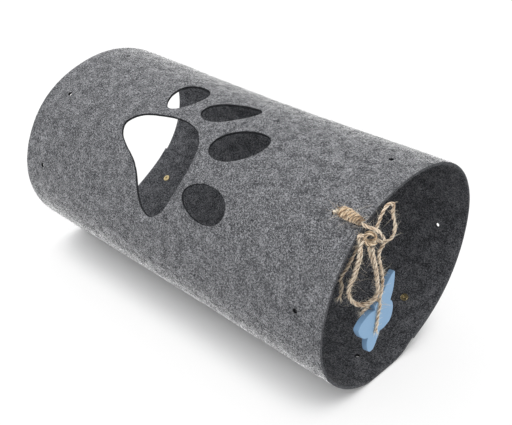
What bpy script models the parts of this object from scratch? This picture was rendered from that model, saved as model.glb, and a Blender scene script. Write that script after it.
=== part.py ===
"""Pet tunnel: one felt sheet rolled into a tube and closed by press studs, with a paw print
cut through it, a ring of lacing holes at each mouth and a foam butterfly hung on twine.

Metres, +Z up. The tube lies along X and the butterfly hangs in the +X mouth. The floor is z = 0.
Sheet coordinates are (x, arc, depth): arc runs round the roll from its top towards -Y,
depth runs inwards from the outer face."""

import math

import bmesh
import bpy
import numpy as np
from mathutils import Matrix, Vector

for old_object in list(bpy.data.objects):
    bpy.data.objects.remove(old_object, do_unlink=True)

# Fits and fineness
GAP = 0.0003
CUT_MARGIN = 0.002
WELD = 0.00001
SHARP_ANGLE = math.radians(35)
FULL_TURN = 2 * math.pi
QUARTER_TURN = math.pi / 2

# The roll
TUNNEL_LENGTH = 0.500
MEAN_RADIUS = 0.1283
FELT_THICKNESS = 0.003
LAYER_STEP = FELT_THICKNESS + GAP
OVERLAP = 0.084
SEAM_TURN_SHARE = -0.4418
STEP_RUN = 0.018
STEP_LEAD = 0.005
ROLL_SKEW = 0.005
WAIST_DEPTH = 0.0035
REST_SINK = 0.0026
REST_SAG = 0.0075
REST_SAG_ANGLE = math.radians(-72)
REST_SAG_SPREAD = math.radians(20)
FLOOR_BLEND = 0.0012
NEAR_LOBE_SHARES = (0.0524, 0.0096, 0.0064, 0.0052, 0.0048)
NEAR_LOBE_TILTS = tuple(math.radians(turn) for turn in (26.8, 17.7, 41.8, -23.6, 20))
FAR_LOBE_SHARES = (0.0667, 0.0234, 0.0115, 0.0052, 0.0048)
FAR_LOBE_TILTS = tuple(math.radians(turn) for turn in (21.1, 15.4, -1.2, -23.6, 20))
CELLS_ROUND = 80
CELLS_ALONG = 10

# Lacing holes and press studs
RING_INSET = 0.0353
RING_COUNT = 8
STUD_EDGE_INSET = 0.0394
STUD_INSET = 0.0367
HOLE_RADIUS = 0.00225
HOLE_SIDES = 16
TWINE_HOLE_INDEX = 4
TWINE_HOLE_SHIFT = -0.0065
POCKET_DEPTH = FELT_THICKNESS / 2
SHAFT_HOLE_RADIUS = 0.002
STUD_SIDES = 24
CAP_RADIUS = 0.0062
CAP_RIM = 0.00025
CAP_HEIGHT = 0.0012
SHAFT_RADIUS = 0.0014
SHAFT_BORE = 0.0007
SOCKET_RADIUS = 0.0058
SOCKET_HEIGHT = 0.0018
BALL_RADIUS = 0.002
BALL_HEIGHT = 0.0017
STUD_FLANGE_RADIUS = 0.0052
STUD_FLANGE_HEIGHT = 0.0004
POST_FLANGE_RADIUS = 0.00475
POST_FLANGE_HEIGHT = 0.0008
POST_EYE_RADIUS = 0.0018
POST_EYE_DEPTH = 0.0005
EDGE_ROUND = 0.0003
SEAT_GAP = GAP + 0.00015
POCKET_RADIUS = SOCKET_RADIUS + GAP + EDGE_ROUND

# Paw print, in x and arc
PAD_CENTRE = (-0.0316, 0.1075)
PAD_DIRECTION_SHARES = (0.695, -0.719)
PAD_HALF_OUTLINE = (
    (0.057, 0), (0.056, 0.010), (0.0525, 0.019), (0.0475, 0.028), (0.042, 0.0355),
    (0.035, 0.042), (0.028, 0.048), (0.0195, 0.0535), (0.0105, 0.0585), (0, 0.064),
    (-0.012, 0.068), (-0.025, 0.068), (-0.0365, 0.063), (-0.041, 0.049), (-0.0385, 0.032),
    (-0.035, 0.020), (-0.033, 0.012), (-0.032, 0.0055), (-0.032, 0),
)
TOE_CENTRES = ((-0.064, 0.015), (0.007, 0.0105), (0.0595, 0.0531), (0.0634, 0.1328))
TOE_LENGTHS = (0.0301, 0.0364, 0.036, 0.0329)
TOE_WIDTHS = (0.0213, 0.0197, 0.0237, 0.0211)
TOE_ANGLES = (math.radians(273), math.radians(321), math.radians(141), math.radians(1))
TOE_EGG_SHARES = (0.23, -0.24, 0.025, 0.10)
TOE_POINTS = 36
PAD_POINTS = 64

# Twine
TWINE_RADIUS = 0.0013
FINE_SPACING = 0.0034
COIL_POINTS = 24

# Lashing over the rim, from the twine hole: along X, back along the arc, outwards
LEG_INNER_ROUTE = (
    (0.0362, -0.0072, -0.0064), (0.0300, -0.0060, -0.0072), (0.0220, -0.0040, -0.0080),
    (0.0140, -0.0016, -0.0085), (0.0085, -0.0004, -0.0086), (0.0040, 0, -0.0078),
    (0.0012, 0, -0.0056), (0.0001, 0, -0.0028), (0, 0, -0.0004), (0.0008, 0, 0.0020),
    (0.0026, 0.0004, 0.0040),
)
WINDING_AXIS_ROUTE = (
    (0.0056, 0.0009, 0.0054), (0.0094, 0.0014, 0.0063), (0.0150, 0.0017, 0.0071),
    (0.0205, 0.0016, 0.0070), (0.0265, 0.0013, 0.0061), (0.0322, 0.0011, 0.0053),
)
WINDING_START = 0.0066
WINDING_END = 0.0350
WINDING_TURNS = 9.0
WINDING_PHASE = math.radians(70)
WINDING_STATIONS = (0, 0.0060, 0.0140, 0.0200, 0.0280, 0.0350, 0.0440)
WINDING_RADII = (0.0031, 0.0031, 0.0049, 0.0048, 0.0037, 0.0031, 0.0031)

# Knot and what hangs from it: right along the picture plane, towards -Y, up, from the knot
KNOT_FROM_HOLE = (0.0432, -0.0050, -0.0088)
HANGING_TURN = math.radians(43.5)
KNOT_RADIUS = 0.0055
KNOT_PITCH = 0.0031
KNOT_TURNS = 2.25
KNOT_PHASE = math.radians(225)
LEG_OUTER_ROUTE = (
    (-0.0050, -0.0004, 0.0127), (0, 0, 0.0112), (0.0052, 0, 0.0090), (0.0098, 0, 0.0048),
    (0.0126, -0.0003, 0.0002), (0.0140, -0.0008, -0.0030),
)
LEG_INNER_END = (-0.0077, 0, 0.0004)
LEG_INNER_LEAD = (-0.0096, 0.0002, 0.0012)
STRAND_ROUTE = (
    (0.0150, -0.0010, -0.0050), (0.0134, -0.0013, -0.0090), (0.0110, -0.0017, -0.0140),
    (0.0102, -0.0018, -0.0190), (0.0106, -0.0018, -0.0250), (0.0132, -0.0020, -0.0340),
    (0.0158, -0.0022, -0.0460), (0.0165, -0.0020, -0.0560), (0.0158, -0.0010, -0.0650),
    (0.0151, -0.0002, -0.0700), (0.0149, 0.0001, -0.0732),
)
FRONT_LOOP_ROUTE = (
    (-0.0064, 0.0030, 0.0045), (-0.0088, 0.0030, 0.0056), (-0.0110, 0.0030, 0.0046),
    (-0.0112, 0.0030, 0.0005), (-0.0094, 0.0030, -0.0060), (-0.0076, 0.0030, -0.0130),
    (-0.0076, 0.0030, -0.0200), (-0.0095, 0.0030, -0.0310), (-0.0117, 0.0030, -0.0435),
    (-0.0155, 0.0030, -0.0525), (-0.0165, 0.0030, -0.0615), (-0.0135, 0.0030, -0.0710),
    (-0.0080, 0.0030, -0.0757), (-0.0020, 0.0030, -0.0760), (0.0035, 0.0030, -0.0738),
    (0.0090, 0.0030, -0.0680), (0.0113, 0.0030, -0.0600), (0.0095, 0.0030, -0.0480),
    (0.0070, 0.0030, -0.0345), (0.0030, 0.0030, -0.0225), (-0.0005, 0.0030, -0.0115),
    (-0.0010, 0.0030, -0.0077),
)
BACK_LOOP_ROUTE = (
    (-0.0068, 0.0045, 0.0002), (-0.0084, 0.0058, -0.0030), (-0.0102, 0.0062, -0.0100),
    (-0.0104, 0.0062, -0.0180), (-0.0120, 0.0062, -0.0290), (-0.0143, 0.0062, -0.0410),
    (-0.0174, 0.0062, -0.0505), (-0.0180, 0.0062, -0.0595), (-0.0143, 0.0062, -0.0700),
    (-0.0085, 0.0062, -0.0750), (-0.0025, 0.0062, -0.0757), (0.0035, 0.0062, -0.0738),
    (0.0093, 0.0062, -0.0670), (0.0113, 0.0062, -0.0580), (0.0100, 0.0062, -0.0455),
    (0.0080, 0.0062, -0.0320), (0.0050, 0.0062, -0.0205), (0.0030, 0.0062, -0.0120),
    (0.0024, 0.0056, -0.0074),
)
FREE_TAIL_ROUTE = (
    (-0.0046, -0.0020, -0.0055), (-0.0072, -0.0020, -0.0080), (-0.0108, -0.0020, -0.0115),
    (-0.0130, -0.0020, -0.0190), (-0.0165, -0.0020, -0.0280), (-0.0192, -0.0020, -0.0365),
    (-0.0232, -0.0020, -0.0440), (-0.0250, -0.0020, -0.0505), (-0.0228, -0.0020, -0.0575),
    (-0.0235, -0.0020, -0.0645), (-0.0245, -0.0020, -0.0715),
)
BOW_ROUTE = (
    (0.0052, -0.0024, 0.0054), (0.0062, -0.0044, 0.0090), (0.0088, -0.0068, 0.0160),
    (0.0118, -0.0086, 0.0245), (0.0155, -0.0100, 0.0305), (0.0195, -0.0112, 0.0322),
    (0.0220, -0.0118, 0.0285), (0.0212, -0.0120, 0.0225), (0.0222, -0.0118, 0.0160),
    (0.0242, -0.0115, 0.0095), (0.0246, -0.0108, 0.0025), (0.0236, -0.0102, -0.0045),
    (0.0205, -0.0098, -0.0088), (0.0160, -0.0094, -0.0105), (0.0110, -0.0086, -0.0094),
    (0.0074, -0.0066, -0.0070), (0.0053, -0.0034, -0.0049),
)
BOW_SPACING = 0.0052

# Butterfly: outline to one side of its body, out along the wing and down the body
TOY_FROM_KNOT = (0.0134, 0.0010, -0.0851)
TOY_TURN = math.radians(10)
TOY_ROLL = math.radians(-19)
TOY_THICKNESS = 0.0056
TOY_EDGE = 0.0006
TOY_POINTS = 34
TOY_HEAD_OUTLINE = (
    (0, -0.0110), (0.0018, -0.0106), (0.0034, -0.0091), (0.0040, -0.0070), (0.0036, -0.0054),
    (0.0043, -0.0046),
)
TOY_WING_OUTLINE = (
    (0.0043, -0.0046), (0.0090, -0.0088), (0.0170, -0.0127), (0.0250, -0.0155),
    (0.0330, -0.0168), (0.0385, -0.0160), (0.0401, -0.0135), (0.0392, -0.0060),
    (0.0360, 0.0035), (0.0318, 0.0120), (0.0280, 0.0190),
)
TOY_LOBE_OUTLINE = (
    (0.0280, 0.0190), (0.0298, 0.0230), (0.0307, 0.0290), (0.0300, 0.0360),
    (0.0264, 0.0440), (0.0205, 0.0482), (0.0150, 0.0472), (0.0080, 0.0432), (0, 0.0367),
)
TIE_ROUTE = (
    (0.0109, 0.0205, 0.0019), (0.0082, 0.0155, 0.0019), (0.0050, 0.0085, 0.0019),
    (0.0018, 0.0020, 0.0019), (-0.0006, -0.0025, 0.0020), (-0.0024, -0.0058, 0.0022),
    (-0.0040, -0.0080, 0.0019), (-0.0054, -0.0088, 0.0002), (-0.0059, -0.0087, -0.0024),
    (-0.0059, -0.0087, -0.0050), (-0.0046, -0.0082, -0.0075), (-0.0014, -0.0068, -0.0081),
    (0.0030, -0.0062, -0.0079), (0.0085, -0.0078, -0.0077), (0.0140, -0.0112, -0.0075),
    (0.0165, -0.0122, -0.0074),
)

PARTS = bpy.data.collections.new("pet_tunnel")
bpy.context.scene.collection.children.link(PARTS)


def material(name, colour, roughness, metallic):
    """A Principled material with the three values set."""
    made = bpy.data.materials.new(name)
    made.use_nodes = True
    shader = made.node_tree.nodes["Principled BSDF"]
    shader.inputs["Base Color"].default_value = (*colour, 1)
    shader.inputs["Roughness"].default_value = roughness
    shader.inputs["Metallic"].default_value = metallic
    return made


def object_from_mesh(name, mesh, finish):
    """A named object in the parts collection, smooth shaded with its corners kept sharp."""
    made = bpy.data.objects.new(name, mesh)
    mesh.materials.clear()
    mesh.materials.append(finish)
    mesh.shade_smooth()
    mesh.set_sharp_from_angle(angle=SHARP_ANGLE)
    PARTS.objects.link(made)
    return made


def evaluated_mesh(thing):
    """A welded mesh of an object with its modifiers and location, after which it goes."""
    bpy.context.view_layer.update()
    depsgraph = bpy.context.evaluated_depsgraph_get()
    mesh = bpy.data.meshes.new_from_object(thing.evaluated_get(depsgraph))
    mesh.transform(thing.matrix_world)
    bpy.data.objects.remove(thing, do_unlink=True)
    shape = bmesh.new()
    shape.from_mesh(mesh)
    bmesh.ops.remove_doubles(shape, verts=shape.verts, dist=WELD)
    shape.to_mesh(mesh)
    shape.free()
    return mesh


def smooth_line(points, count):
    """Evenly spaced points on a smooth curve through the points given."""
    knots = np.array([tuple(point) for point in points], dtype=float)
    padded = np.vstack([2 * knots[0] - knots[1], knots, 2 * knots[-1] - knots[-2]])
    steps = np.linspace(0, 1, 24, endpoint=False)[:, None]
    pieces = []
    for a, b, c, d in zip(padded, padded[1:], padded[2:], padded[3:]):
        linear = (c - a) * steps
        square = (2 * a - 5 * b + 4 * c - d) * steps**2
        cube = (3 * b - a - 3 * c + d) * steps**3
        pieces.append(b + (linear + square + cube) / 2)
    dense = np.vstack([*pieces, knots[-1:]])
    travelled = np.concatenate([[0], np.cumsum(np.linalg.norm(np.diff(dense, axis=0), axis=1))])
    wanted = np.linspace(0, travelled[-1], count)
    return np.stack([np.interp(wanted, travelled, axis) for axis in dense.T], axis=1)


def line_length(points):
    """The length of a row of points."""
    return float(np.linalg.norm(np.diff(points, axis=0), axis=1).sum())


# The roll's shape
def section_radius(angle, shares, tilts):
    """Outer radius of an end section at angles measured from +Y towards +Z."""
    total = 1
    for order, (share, tilt) in enumerate(zip(shares, tilts), start=2):
        total = total + share * np.cos(order * (angle - tilt))
    return MEAN_RADIUS * total


def section_outline(shares, tilts):
    """Angles from the top both ways round, with the outer face's points, normals and arcs."""
    angle = np.linspace(QUARTER_TURN - FULL_TURN, QUARTER_TURN + FULL_TURN, 2881)
    radius = section_radius(angle, shares, tilts)
    points = np.stack([radius * np.cos(angle), radius * np.sin(angle)], axis=1)
    along = np.gradient(points, axis=0)
    along = along / np.linalg.norm(along, axis=1)[:, None]
    outward = np.stack([along[:, 1], -along[:, 0]], axis=1)
    arcs = np.concatenate([[0], np.cumsum(np.linalg.norm(np.diff(points, axis=0), axis=1))])
    return points, outward, arcs - np.interp(QUARTER_TURN, angle, arcs)


def circumference(shares, tilts):
    """Length once round the outer face of an end section."""
    arcs = section_outline(shares, tilts)[2]
    return float(arcs[-1] - arcs[0]) / 2


ROUND = circumference(NEAR_LOBE_SHARES, NEAR_LOBE_TILTS)
OUTER_EDGE_ARC = ROUND * SEAM_TURN_SHARE
STUD_ARC = OUTER_EDGE_ARC + STUD_EDGE_INSET
COVER_ARC = OUTER_EDGE_ARC + ROUND
INNER_EDGE_ARC = COVER_ARC + OVERLAP
SHEET_WIDTH = INNER_EDGE_ARC - OUTER_EDGE_ARC


def sheet_path(shares, tilts):
    """Arc and point tables of the sheet's outer face, stepping inside its own outer edge."""
    points, outward, arcs = section_outline(shares, tilts)
    part = np.clip((arcs - (COVER_ARC - STEP_LEAD - STEP_RUN)) / STEP_RUN, 0, 1)
    inset = LAYER_STEP * part**2 * (3 - 2 * part)
    path = points - outward * inset[:, None]
    travelled = np.concatenate([[0], np.cumsum(np.linalg.norm(np.diff(path, axis=0), axis=1))])
    return travelled - np.interp(0, arcs, travelled), path


NEAR_PATH = sheet_path(NEAR_LOBE_SHARES, NEAR_LOBE_TILTS)
FAR_PATH = sheet_path(FAR_LOBE_SHARES, FAR_LOBE_TILTS)


def lowest(path):
    """Height of an end section's lowest point, from the axis."""
    return float(path[1][:, 1].min())


AXIS_HEIGHT = -max(lowest(NEAR_PATH), lowest(FAR_PATH)) - REST_SINK


def face_point(x, arc):
    """Points of the outer face before it rests on the floor, as y and height from the axis."""
    nearness = (x + TUNNEL_LENGTH / 2) / TUNNEL_LENGTH
    turned = arc - ROLL_SKEW * (1 - nearness)
    near = np.stack([np.interp(turned, NEAR_PATH[0], line) for line in NEAR_PATH[1].T], axis=-1)
    far = np.stack([np.interp(turned, FAR_PATH[0], line) for line in FAR_PATH[1].T], axis=-1)
    blended = far + (near - far) * nearness[..., None]
    radius = np.linalg.norm(blended, axis=-1)
    middle = (4 * nearness * (1 - nearness)) ** 2
    upper = (1 + blended[..., 1] / radius) / 2
    bearing = np.arctan2(blended[..., 1], blended[..., 0])
    spread = (bearing - REST_SAG_ANGLE) / REST_SAG_SPREAD
    outward = middle * (REST_SAG * np.exp(-(spread**2)) - WAIST_DEPTH * upper)
    return blended * (1 + outward / radius)[..., None]


def face_normal(x, arc):
    """Outward normals of the outer face, in y and z."""
    along = face_point(x, arc + FINE_SPACING) - face_point(x, arc - FINE_SPACING)
    along = along / np.linalg.norm(along, axis=-1)[..., None]
    return np.stack([along[..., 1], -along[..., 0]], axis=-1)


def rolled(x, arc, depth):
    """World points of sheet coordinates, flattened where the roll rests on the floor."""
    face = face_point(x, arc) - face_normal(x, arc) * depth[..., None]
    clear = face[..., 1] + AXIS_HEIGHT - depth
    eased = (clear + FLOOR_BLEND) ** 2 / (4 * FLOOR_BLEND)
    settled = np.where(clear > FLOOR_BLEND, clear, np.where(clear < -FLOOR_BLEND, 0, eased))
    return np.stack([x, face[..., 0], settled + depth], axis=-1)


def sheet_frame(x, arc):
    """Matrix whose X, Y and Z run along X, back along the arc and outwards."""
    spot = rolled(np.array(x), np.array(arc), np.array(0.0))
    normal = face_normal(np.array(x), np.array(arc))
    out = Vector((0, normal[0], normal[1]))
    across = Vector((0, normal[1], -normal[0]))
    turn = Matrix((Vector((1, 0, 0)), across, out)).transposed().to_4x4()
    return Matrix.Translation(Vector(spot)) @ turn


def arc_under(x, arc):
    """Arc of the inner layer's point straight under an outer layer's point."""
    target = math.atan2(*face_point(np.array(x), np.array(arc)))
    arcs = np.linspace(COVER_ARC, INNER_EDGE_ARC, 400)
    points = face_point(np.full_like(arcs, x), arcs)
    bearings = np.unwrap(np.arctan2(points[:, 0], points[:, 1]))
    turns = round(float(bearings.mean() - target) / FULL_TURN)
    return float(np.interp(-(target + turns * FULL_TURN), -bearings, arcs))


# Flat cutters
def plate_cutter(outline, depth_from, depth_to):
    """A flat-ended cutter through the sheet's plane with an outline in x and arc."""
    curve = bpy.data.curves.new("cutter", "CURVE")
    curve.dimensions = "2D"
    curve.fill_mode = "BOTH"
    curve.extrude = (depth_to - depth_from) / 2
    spline = curve.splines.new("POLY")
    spline.points.add(len(outline) - 1)
    for point, (x, arc) in zip(spline.points, outline):
        point.co = (x, arc, 0, 1)
    spline.use_cyclic_u = True
    thing = bpy.data.objects.new("cutter", curve)
    bpy.context.scene.collection.objects.link(thing)
    thing.location.z = -(depth_from + depth_to) / 2
    return evaluated_mesh(thing)


def round_outline(centre, radius, sides):
    """Points of a circle in x and arc."""
    angles = np.arange(sides) * FULL_TURN / sides
    return [(centre[0] + radius * math.cos(a), centre[1] + radius * math.sin(a)) for a in angles]


def toe_outline(index):
    """Egg-shaped toe outline in x and arc."""
    turn = TOE_ANGLES[index]
    outline = []
    for step in range(TOE_POINTS):
        angle = FULL_TURN * step / TOE_POINTS
        along = TOE_LENGTHS[index] * math.cos(angle)
        swell = 1 + TOE_EGG_SHARES[index] * math.cos(angle)
        across = TOE_WIDTHS[index] * swell * math.sin(angle)
        x = TOE_CENTRES[index][0] + along * math.cos(turn) - across * math.sin(turn)
        arc = TOE_CENTRES[index][1] + along * math.sin(turn) + across * math.cos(turn)
        outline.append((x, arc))
    return outline


def mirrored_outline(half, count):
    """A closed outline from the half on one side of its own axis."""
    line = smooth_line(half, count)
    other = line[-2:0:-1] * np.array([1, -1])
    return np.vstack([line, other])


def pad_outline():
    """Paw pad outline in x and arc."""
    (ux, ua), (cx, ca) = PAD_DIRECTION_SHARES, PAD_CENTRE
    outline = mirrored_outline(PAD_HALF_OUTLINE, PAD_POINTS // 2)
    return [(cx + u * ux - v * ua, ca + u * ua + v * ux) for u, v in outline]


def joined_cutter(meshes):
    """One hidden object holding separate cutter meshes."""
    shape = bmesh.new()
    for mesh in meshes:
        shape.from_mesh(mesh)
    joined = bpy.data.meshes.new("cutters")
    shape.to_mesh(joined)
    shape.free()
    thing = bpy.data.objects.new("cutters", joined)
    bpy.context.scene.collection.objects.link(thing)
    return thing


STUD_X = TUNNEL_LENGTH / 2 - STUD_INSET
RING_X = TUNNEL_LENGTH / 2 - RING_INSET
RING_PITCH = ROUND / RING_COUNT
TWINE_HOLE_ARC = STUD_ARC + TWINE_HOLE_INDEX * RING_PITCH + TWINE_HOLE_SHIFT


def felt_sheet(finish):
    """The die-cut sheet, cut flat and then rolled."""
    flat = bmesh.new()
    bmesh.ops.create_grid(flat, x_segments=CELLS_ALONG, y_segments=CELLS_ROUND, size=1)
    for vertex in flat.verts:
        vertex.co.x *= TUNNEL_LENGTH / 2
        vertex.co.y = OUTER_EDGE_ARC + SHEET_WIDTH * (vertex.co.y + 1) / 2
    mesh = bpy.data.meshes.new("felt_flat")
    flat.to_mesh(mesh)
    flat.free()
    sheet = bpy.data.objects.new("felt_flat", mesh)
    bpy.context.scene.collection.objects.link(sheet)
    solid = sheet.modifiers.new("thickness", "SOLIDIFY")
    solid.thickness = FELT_THICKNESS
    solid.offset = -1

    low, high = -CUT_MARGIN, FELT_THICKNESS + CUT_MARGIN
    through = [plate_cutter(pad_outline(), low, high)]
    through += [plate_cutter(toe_outline(index), low, high) for index in range(len(TOE_CENTRES))]
    pockets = []
    for side in (1, -1):
        for index in range(1, RING_COUNT):
            shift = TWINE_HOLE_SHIFT if side == 1 and index == TWINE_HOLE_INDEX else 0
            centre = (side * RING_X, STUD_ARC + index * RING_PITCH + shift)
            outline = round_outline(centre, HOLE_RADIUS, HOLE_SIDES)
            through.append(plate_cutter(outline, low, high))
        outer = (side * STUD_X, STUD_ARC)
        inner = (side * STUD_X, arc_under(side * STUD_X, STUD_ARC))
        for centre in (outer, inner):
            outline = round_outline(centre, SHAFT_HOLE_RADIUS, HOLE_SIDES)
            through.append(plate_cutter(outline, low, high))
        wide = round_outline(outer, POCKET_RADIUS, STUD_SIDES)
        pockets.append(plate_cutter(wide, FELT_THICKNESS - POCKET_DEPTH, high))
        wide = round_outline(inner, POCKET_RADIUS, STUD_SIDES)
        pockets.append(plate_cutter(wide, low, POCKET_DEPTH))
    cutters = [joined_cutter(through), joined_cutter(pockets)]
    for cutter in cutters:
        cut = sheet.modifiers.new("cut", "BOOLEAN")
        cut.operation = "DIFFERENCE"
        cut.solver = "EXACT"
        cut.object = cutter
    cut_mesh = evaluated_mesh(sheet)
    for cutter in cutters:
        bpy.data.objects.remove(cutter, do_unlink=True)

    shape = bmesh.new()
    shape.from_mesh(cut_mesh)
    bmesh.ops.triangulate(shape, faces=shape.faces)
    flat_points = np.array([vertex.co for vertex in shape.verts])
    world = rolled(flat_points[:, 0], flat_points[:, 1], -flat_points[:, 2])
    for vertex, point in zip(shape.verts, world):
        vertex.co = point
    bmesh.ops.reverse_faces(shape, faces=shape.faces)
    shape.to_mesh(cut_mesh)
    shape.free()
    return object_from_mesh("felt_sheet", cut_mesh, finish)


# Press studs
def turned(name, profile, frame, finish):
    """A turned solid from its half profile, placed by a sheet frame."""
    mesh = bpy.data.meshes.new(name)
    points = [(radius, 0, height) for radius, height in profile]
    mesh.from_pydata(points, [(i, i + 1) for i in range(len(points) - 1)], [])
    thing = bpy.data.objects.new("turning", mesh)
    bpy.context.scene.collection.objects.link(thing)
    screw = thing.modifiers.new("turn", "SCREW")
    screw.steps = STUD_SIDES
    screw.render_steps = STUD_SIDES
    screw.use_merge_vertices = True
    screw.merge_threshold = WELD
    made = object_from_mesh(name, evaluated_mesh(thing), finish)
    made.matrix_world = frame
    return made


def press_stud(end, x, finish):
    """The four brass pieces of one press stud, heights measured from the outer face."""
    frame = sheet_frame(x, STUD_ARC)
    seat = SEAT_GAP
    top = seat + CAP_HEIGHT
    foot = GAP - POCKET_DEPTH
    cap = [
        (0, top), (CAP_RADIUS * 0.4, top - CAP_RIM / 3), (CAP_RADIUS * 0.75, top - CAP_RIM * 1.4),
        (CAP_RADIUS * 0.93, top - CAP_RIM * 2.4), (CAP_RADIUS, seat + CAP_RIM), (CAP_RADIUS, seat),
        (SHAFT_RADIUS, seat), (SHAFT_RADIUS, foot), (SHAFT_BORE, foot),
        (SHAFT_BORE, seat), (0, seat),
    ]
    turned(end + "_snap_cap", cap, frame, finish)

    top = -POCKET_DEPTH - SEAT_GAP
    low = top - SOCKET_HEIGHT
    socket = [
        (BALL_RADIUS + GAP, top), (SOCKET_RADIUS - EDGE_ROUND, top),
        (SOCKET_RADIUS, top - EDGE_ROUND), (SOCKET_RADIUS, low + EDGE_ROUND),
        (SOCKET_RADIUS - EDGE_ROUND, low), (BALL_RADIUS + GAP, low), (BALL_RADIUS + GAP, top),
    ]
    turned(end + "_snap_socket", socket, frame, finish)

    top = low - GAP
    floor = top - STUD_FLANGE_HEIGHT
    ball = top + BALL_HEIGHT
    stud = [
        (0, ball), (BALL_RADIUS * 0.6, ball), (BALL_RADIUS * 0.9, ball - BALL_RADIUS * 0.25),
        (BALL_RADIUS, ball - BALL_RADIUS * 0.5), (BALL_RADIUS * 0.85, top),
        (STUD_FLANGE_RADIUS - EDGE_ROUND, top), (STUD_FLANGE_RADIUS, top - EDGE_ROUND),
        (STUD_FLANGE_RADIUS, floor), (0, floor),
    ]
    turned(end + "_snap_stud", stud, frame, finish)

    head = floor - GAP
    face = -LAYER_STEP - FELT_THICKNESS - SEAT_GAP
    back = face - POST_FLANGE_HEIGHT
    post = [
        (0, head), (SHAFT_RADIUS, head), (SHAFT_RADIUS, face),
        (POST_FLANGE_RADIUS - EDGE_ROUND, face), (POST_FLANGE_RADIUS, face - EDGE_ROUND),
        (POST_FLANGE_RADIUS - EDGE_ROUND, back), (POST_EYE_RADIUS, back),
        (POST_EYE_RADIUS - EDGE_ROUND, back + POST_EYE_DEPTH), (0, back + POST_EYE_DEPTH),
    ]
    turned(end + "_snap_post", post, frame, finish)


# Twine
def twine(name, points, finish, origin=(0, 0, 0), sides=2, rounded_start=False):
    """An unbroken twine through its points, with filled ends."""
    curve = bpy.data.curves.new(name, "CURVE")
    curve.dimensions = "3D"
    curve.bevel_depth = TWINE_RADIUS
    curve.bevel_resolution = sides
    curve.use_fill_caps = True
    spline = curve.splines.new("POLY")
    rows = [Vector(point) - Vector(origin) for point in points]
    swell = [1.0] * len(rows)
    if rounded_start:
        lead = (rows[1] - rows[0]).normalized() * TWINE_RADIUS
        shares = (-0.95, -0.7, 0)
        rows = [rows[0] + lead * share for share in shares] + rows[1:]
        swell = [math.sqrt(1 - share**2) for share in shares] + swell[1:]
    spline.points.add(len(rows) - 1)
    for point, row, width in zip(spline.points, rows, swell):
        point.co = (*row, 1)
        point.radius = width
    made = bpy.data.objects.new(name, curve)
    curve.materials.append(finish)
    PARTS.objects.link(made)
    made.location = origin
    return made


HOLE_FRAME = sheet_frame(RING_X, TWINE_HOLE_ARC)
KNOT = HOLE_FRAME @ Vector(KNOT_FROM_HOLE)
RIGHTWARD = Vector((math.cos(HANGING_TURN), math.sin(HANGING_TURN), 0))
FORWARD = Vector((math.sin(HANGING_TURN), -math.cos(HANGING_TURN), 0))
UPWARD = Vector((0, 0, 1))


def from_hole(points):
    """World points of a route measured from the twine hole."""
    return [HOLE_FRAME @ Vector(point) for point in points]


def from_knot(points):
    """World points of a route measured from the knot."""
    return [KNOT + RIGHTWARD * h + FORWARD * b + UPWARD * z for h, b, z in points]


def evenly(points, spacing):
    """Points of a smooth line with about the spacing between them."""
    rough = smooth_line(points, 8 * len(points))
    return smooth_line(points, max(3, round(line_length(rough) / spacing) + 1))


def straight_ends(points, lead):
    """A coil's points with a straight stretch added at each end."""
    first = points[0] + (points[0] - points[1]) / np.linalg.norm(points[0] - points[1]) * lead
    last = points[-1] + (points[-1] - points[-2]) / np.linalg.norm(points[-1] - points[-2]) * lead
    return np.vstack([first, points, last])


def least_gap(points, loop_points):
    """Clear distance between a coil's neighbouring turns."""
    count = len(points)
    least = math.inf
    for i in range(count):
        later = points[i + loop_points // 2:]
        if len(later):
            least = min(least, float(np.linalg.norm(later - points[i], axis=1).min()))
    return least - 2 * TWINE_RADIUS


def lashing(finish):
    """The twine through the hole and over the rim, and the winding round it."""
    inner = from_knot([LEG_INNER_END, LEG_INNER_LEAD])
    path = inner + from_hole(LEG_INNER_ROUTE + WINDING_AXIS_ROUTE)
    path += from_knot(LEG_OUTER_ROUTE)
    twine("lashing_leg", evenly(path, FINE_SPACING), finish)

    axis = smooth_line(from_hole(WINDING_AXIS_ROUTE) + from_knot(LEG_OUTER_ROUTE[:2]), 400)
    start = HOLE_FRAME.translation.x
    count = round(WINDING_TURNS * COIL_POINTS)
    row = []
    for step in range(count + 1):
        reach = WINDING_START + (WINDING_END - WINDING_START) * step / count
        spot = np.array([np.interp(start + reach, axis[:, 0], axis[:, k]) for k in range(3)])
        radius = np.interp(reach, WINDING_STATIONS, WINDING_RADII)
        angle = WINDING_PHASE + FULL_TURN * step / COIL_POINTS
        side = HOLE_FRAME.to_3x3() @ Vector((0, math.sin(angle), math.cos(angle)))
        row.append(spot + np.array(side) * radius)
    points = straight_ends(np.array(row), 2 * TWINE_RADIUS)
    print("lashing_winding least gap", round(least_gap(points, COIL_POINTS), 5))
    twine("lashing_winding", points, finish, sides=1)


def bow_knot(finish):
    """The turns of the knot, round a level axis."""
    count = round(KNOT_TURNS * COIL_POINTS)
    row = []
    for step in range(count + 1):
        turn = step / COIL_POINTS
        angle = KNOT_PHASE + FULL_TURN * turn
        out = RIGHTWARD * math.cos(angle) + UPWARD * math.sin(angle)
        along = FORWARD * KNOT_PITCH * (turn - KNOT_TURNS / 2)
        row.append(np.array(KNOT + out * KNOT_RADIUS + along))
    points = straight_ends(np.array(row), 2 * TWINE_RADIUS)
    print("bow_knot least gap", round(least_gap(points, COIL_POINTS), 5))
    twine("bow_knot", points, finish, sides=1)


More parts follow.
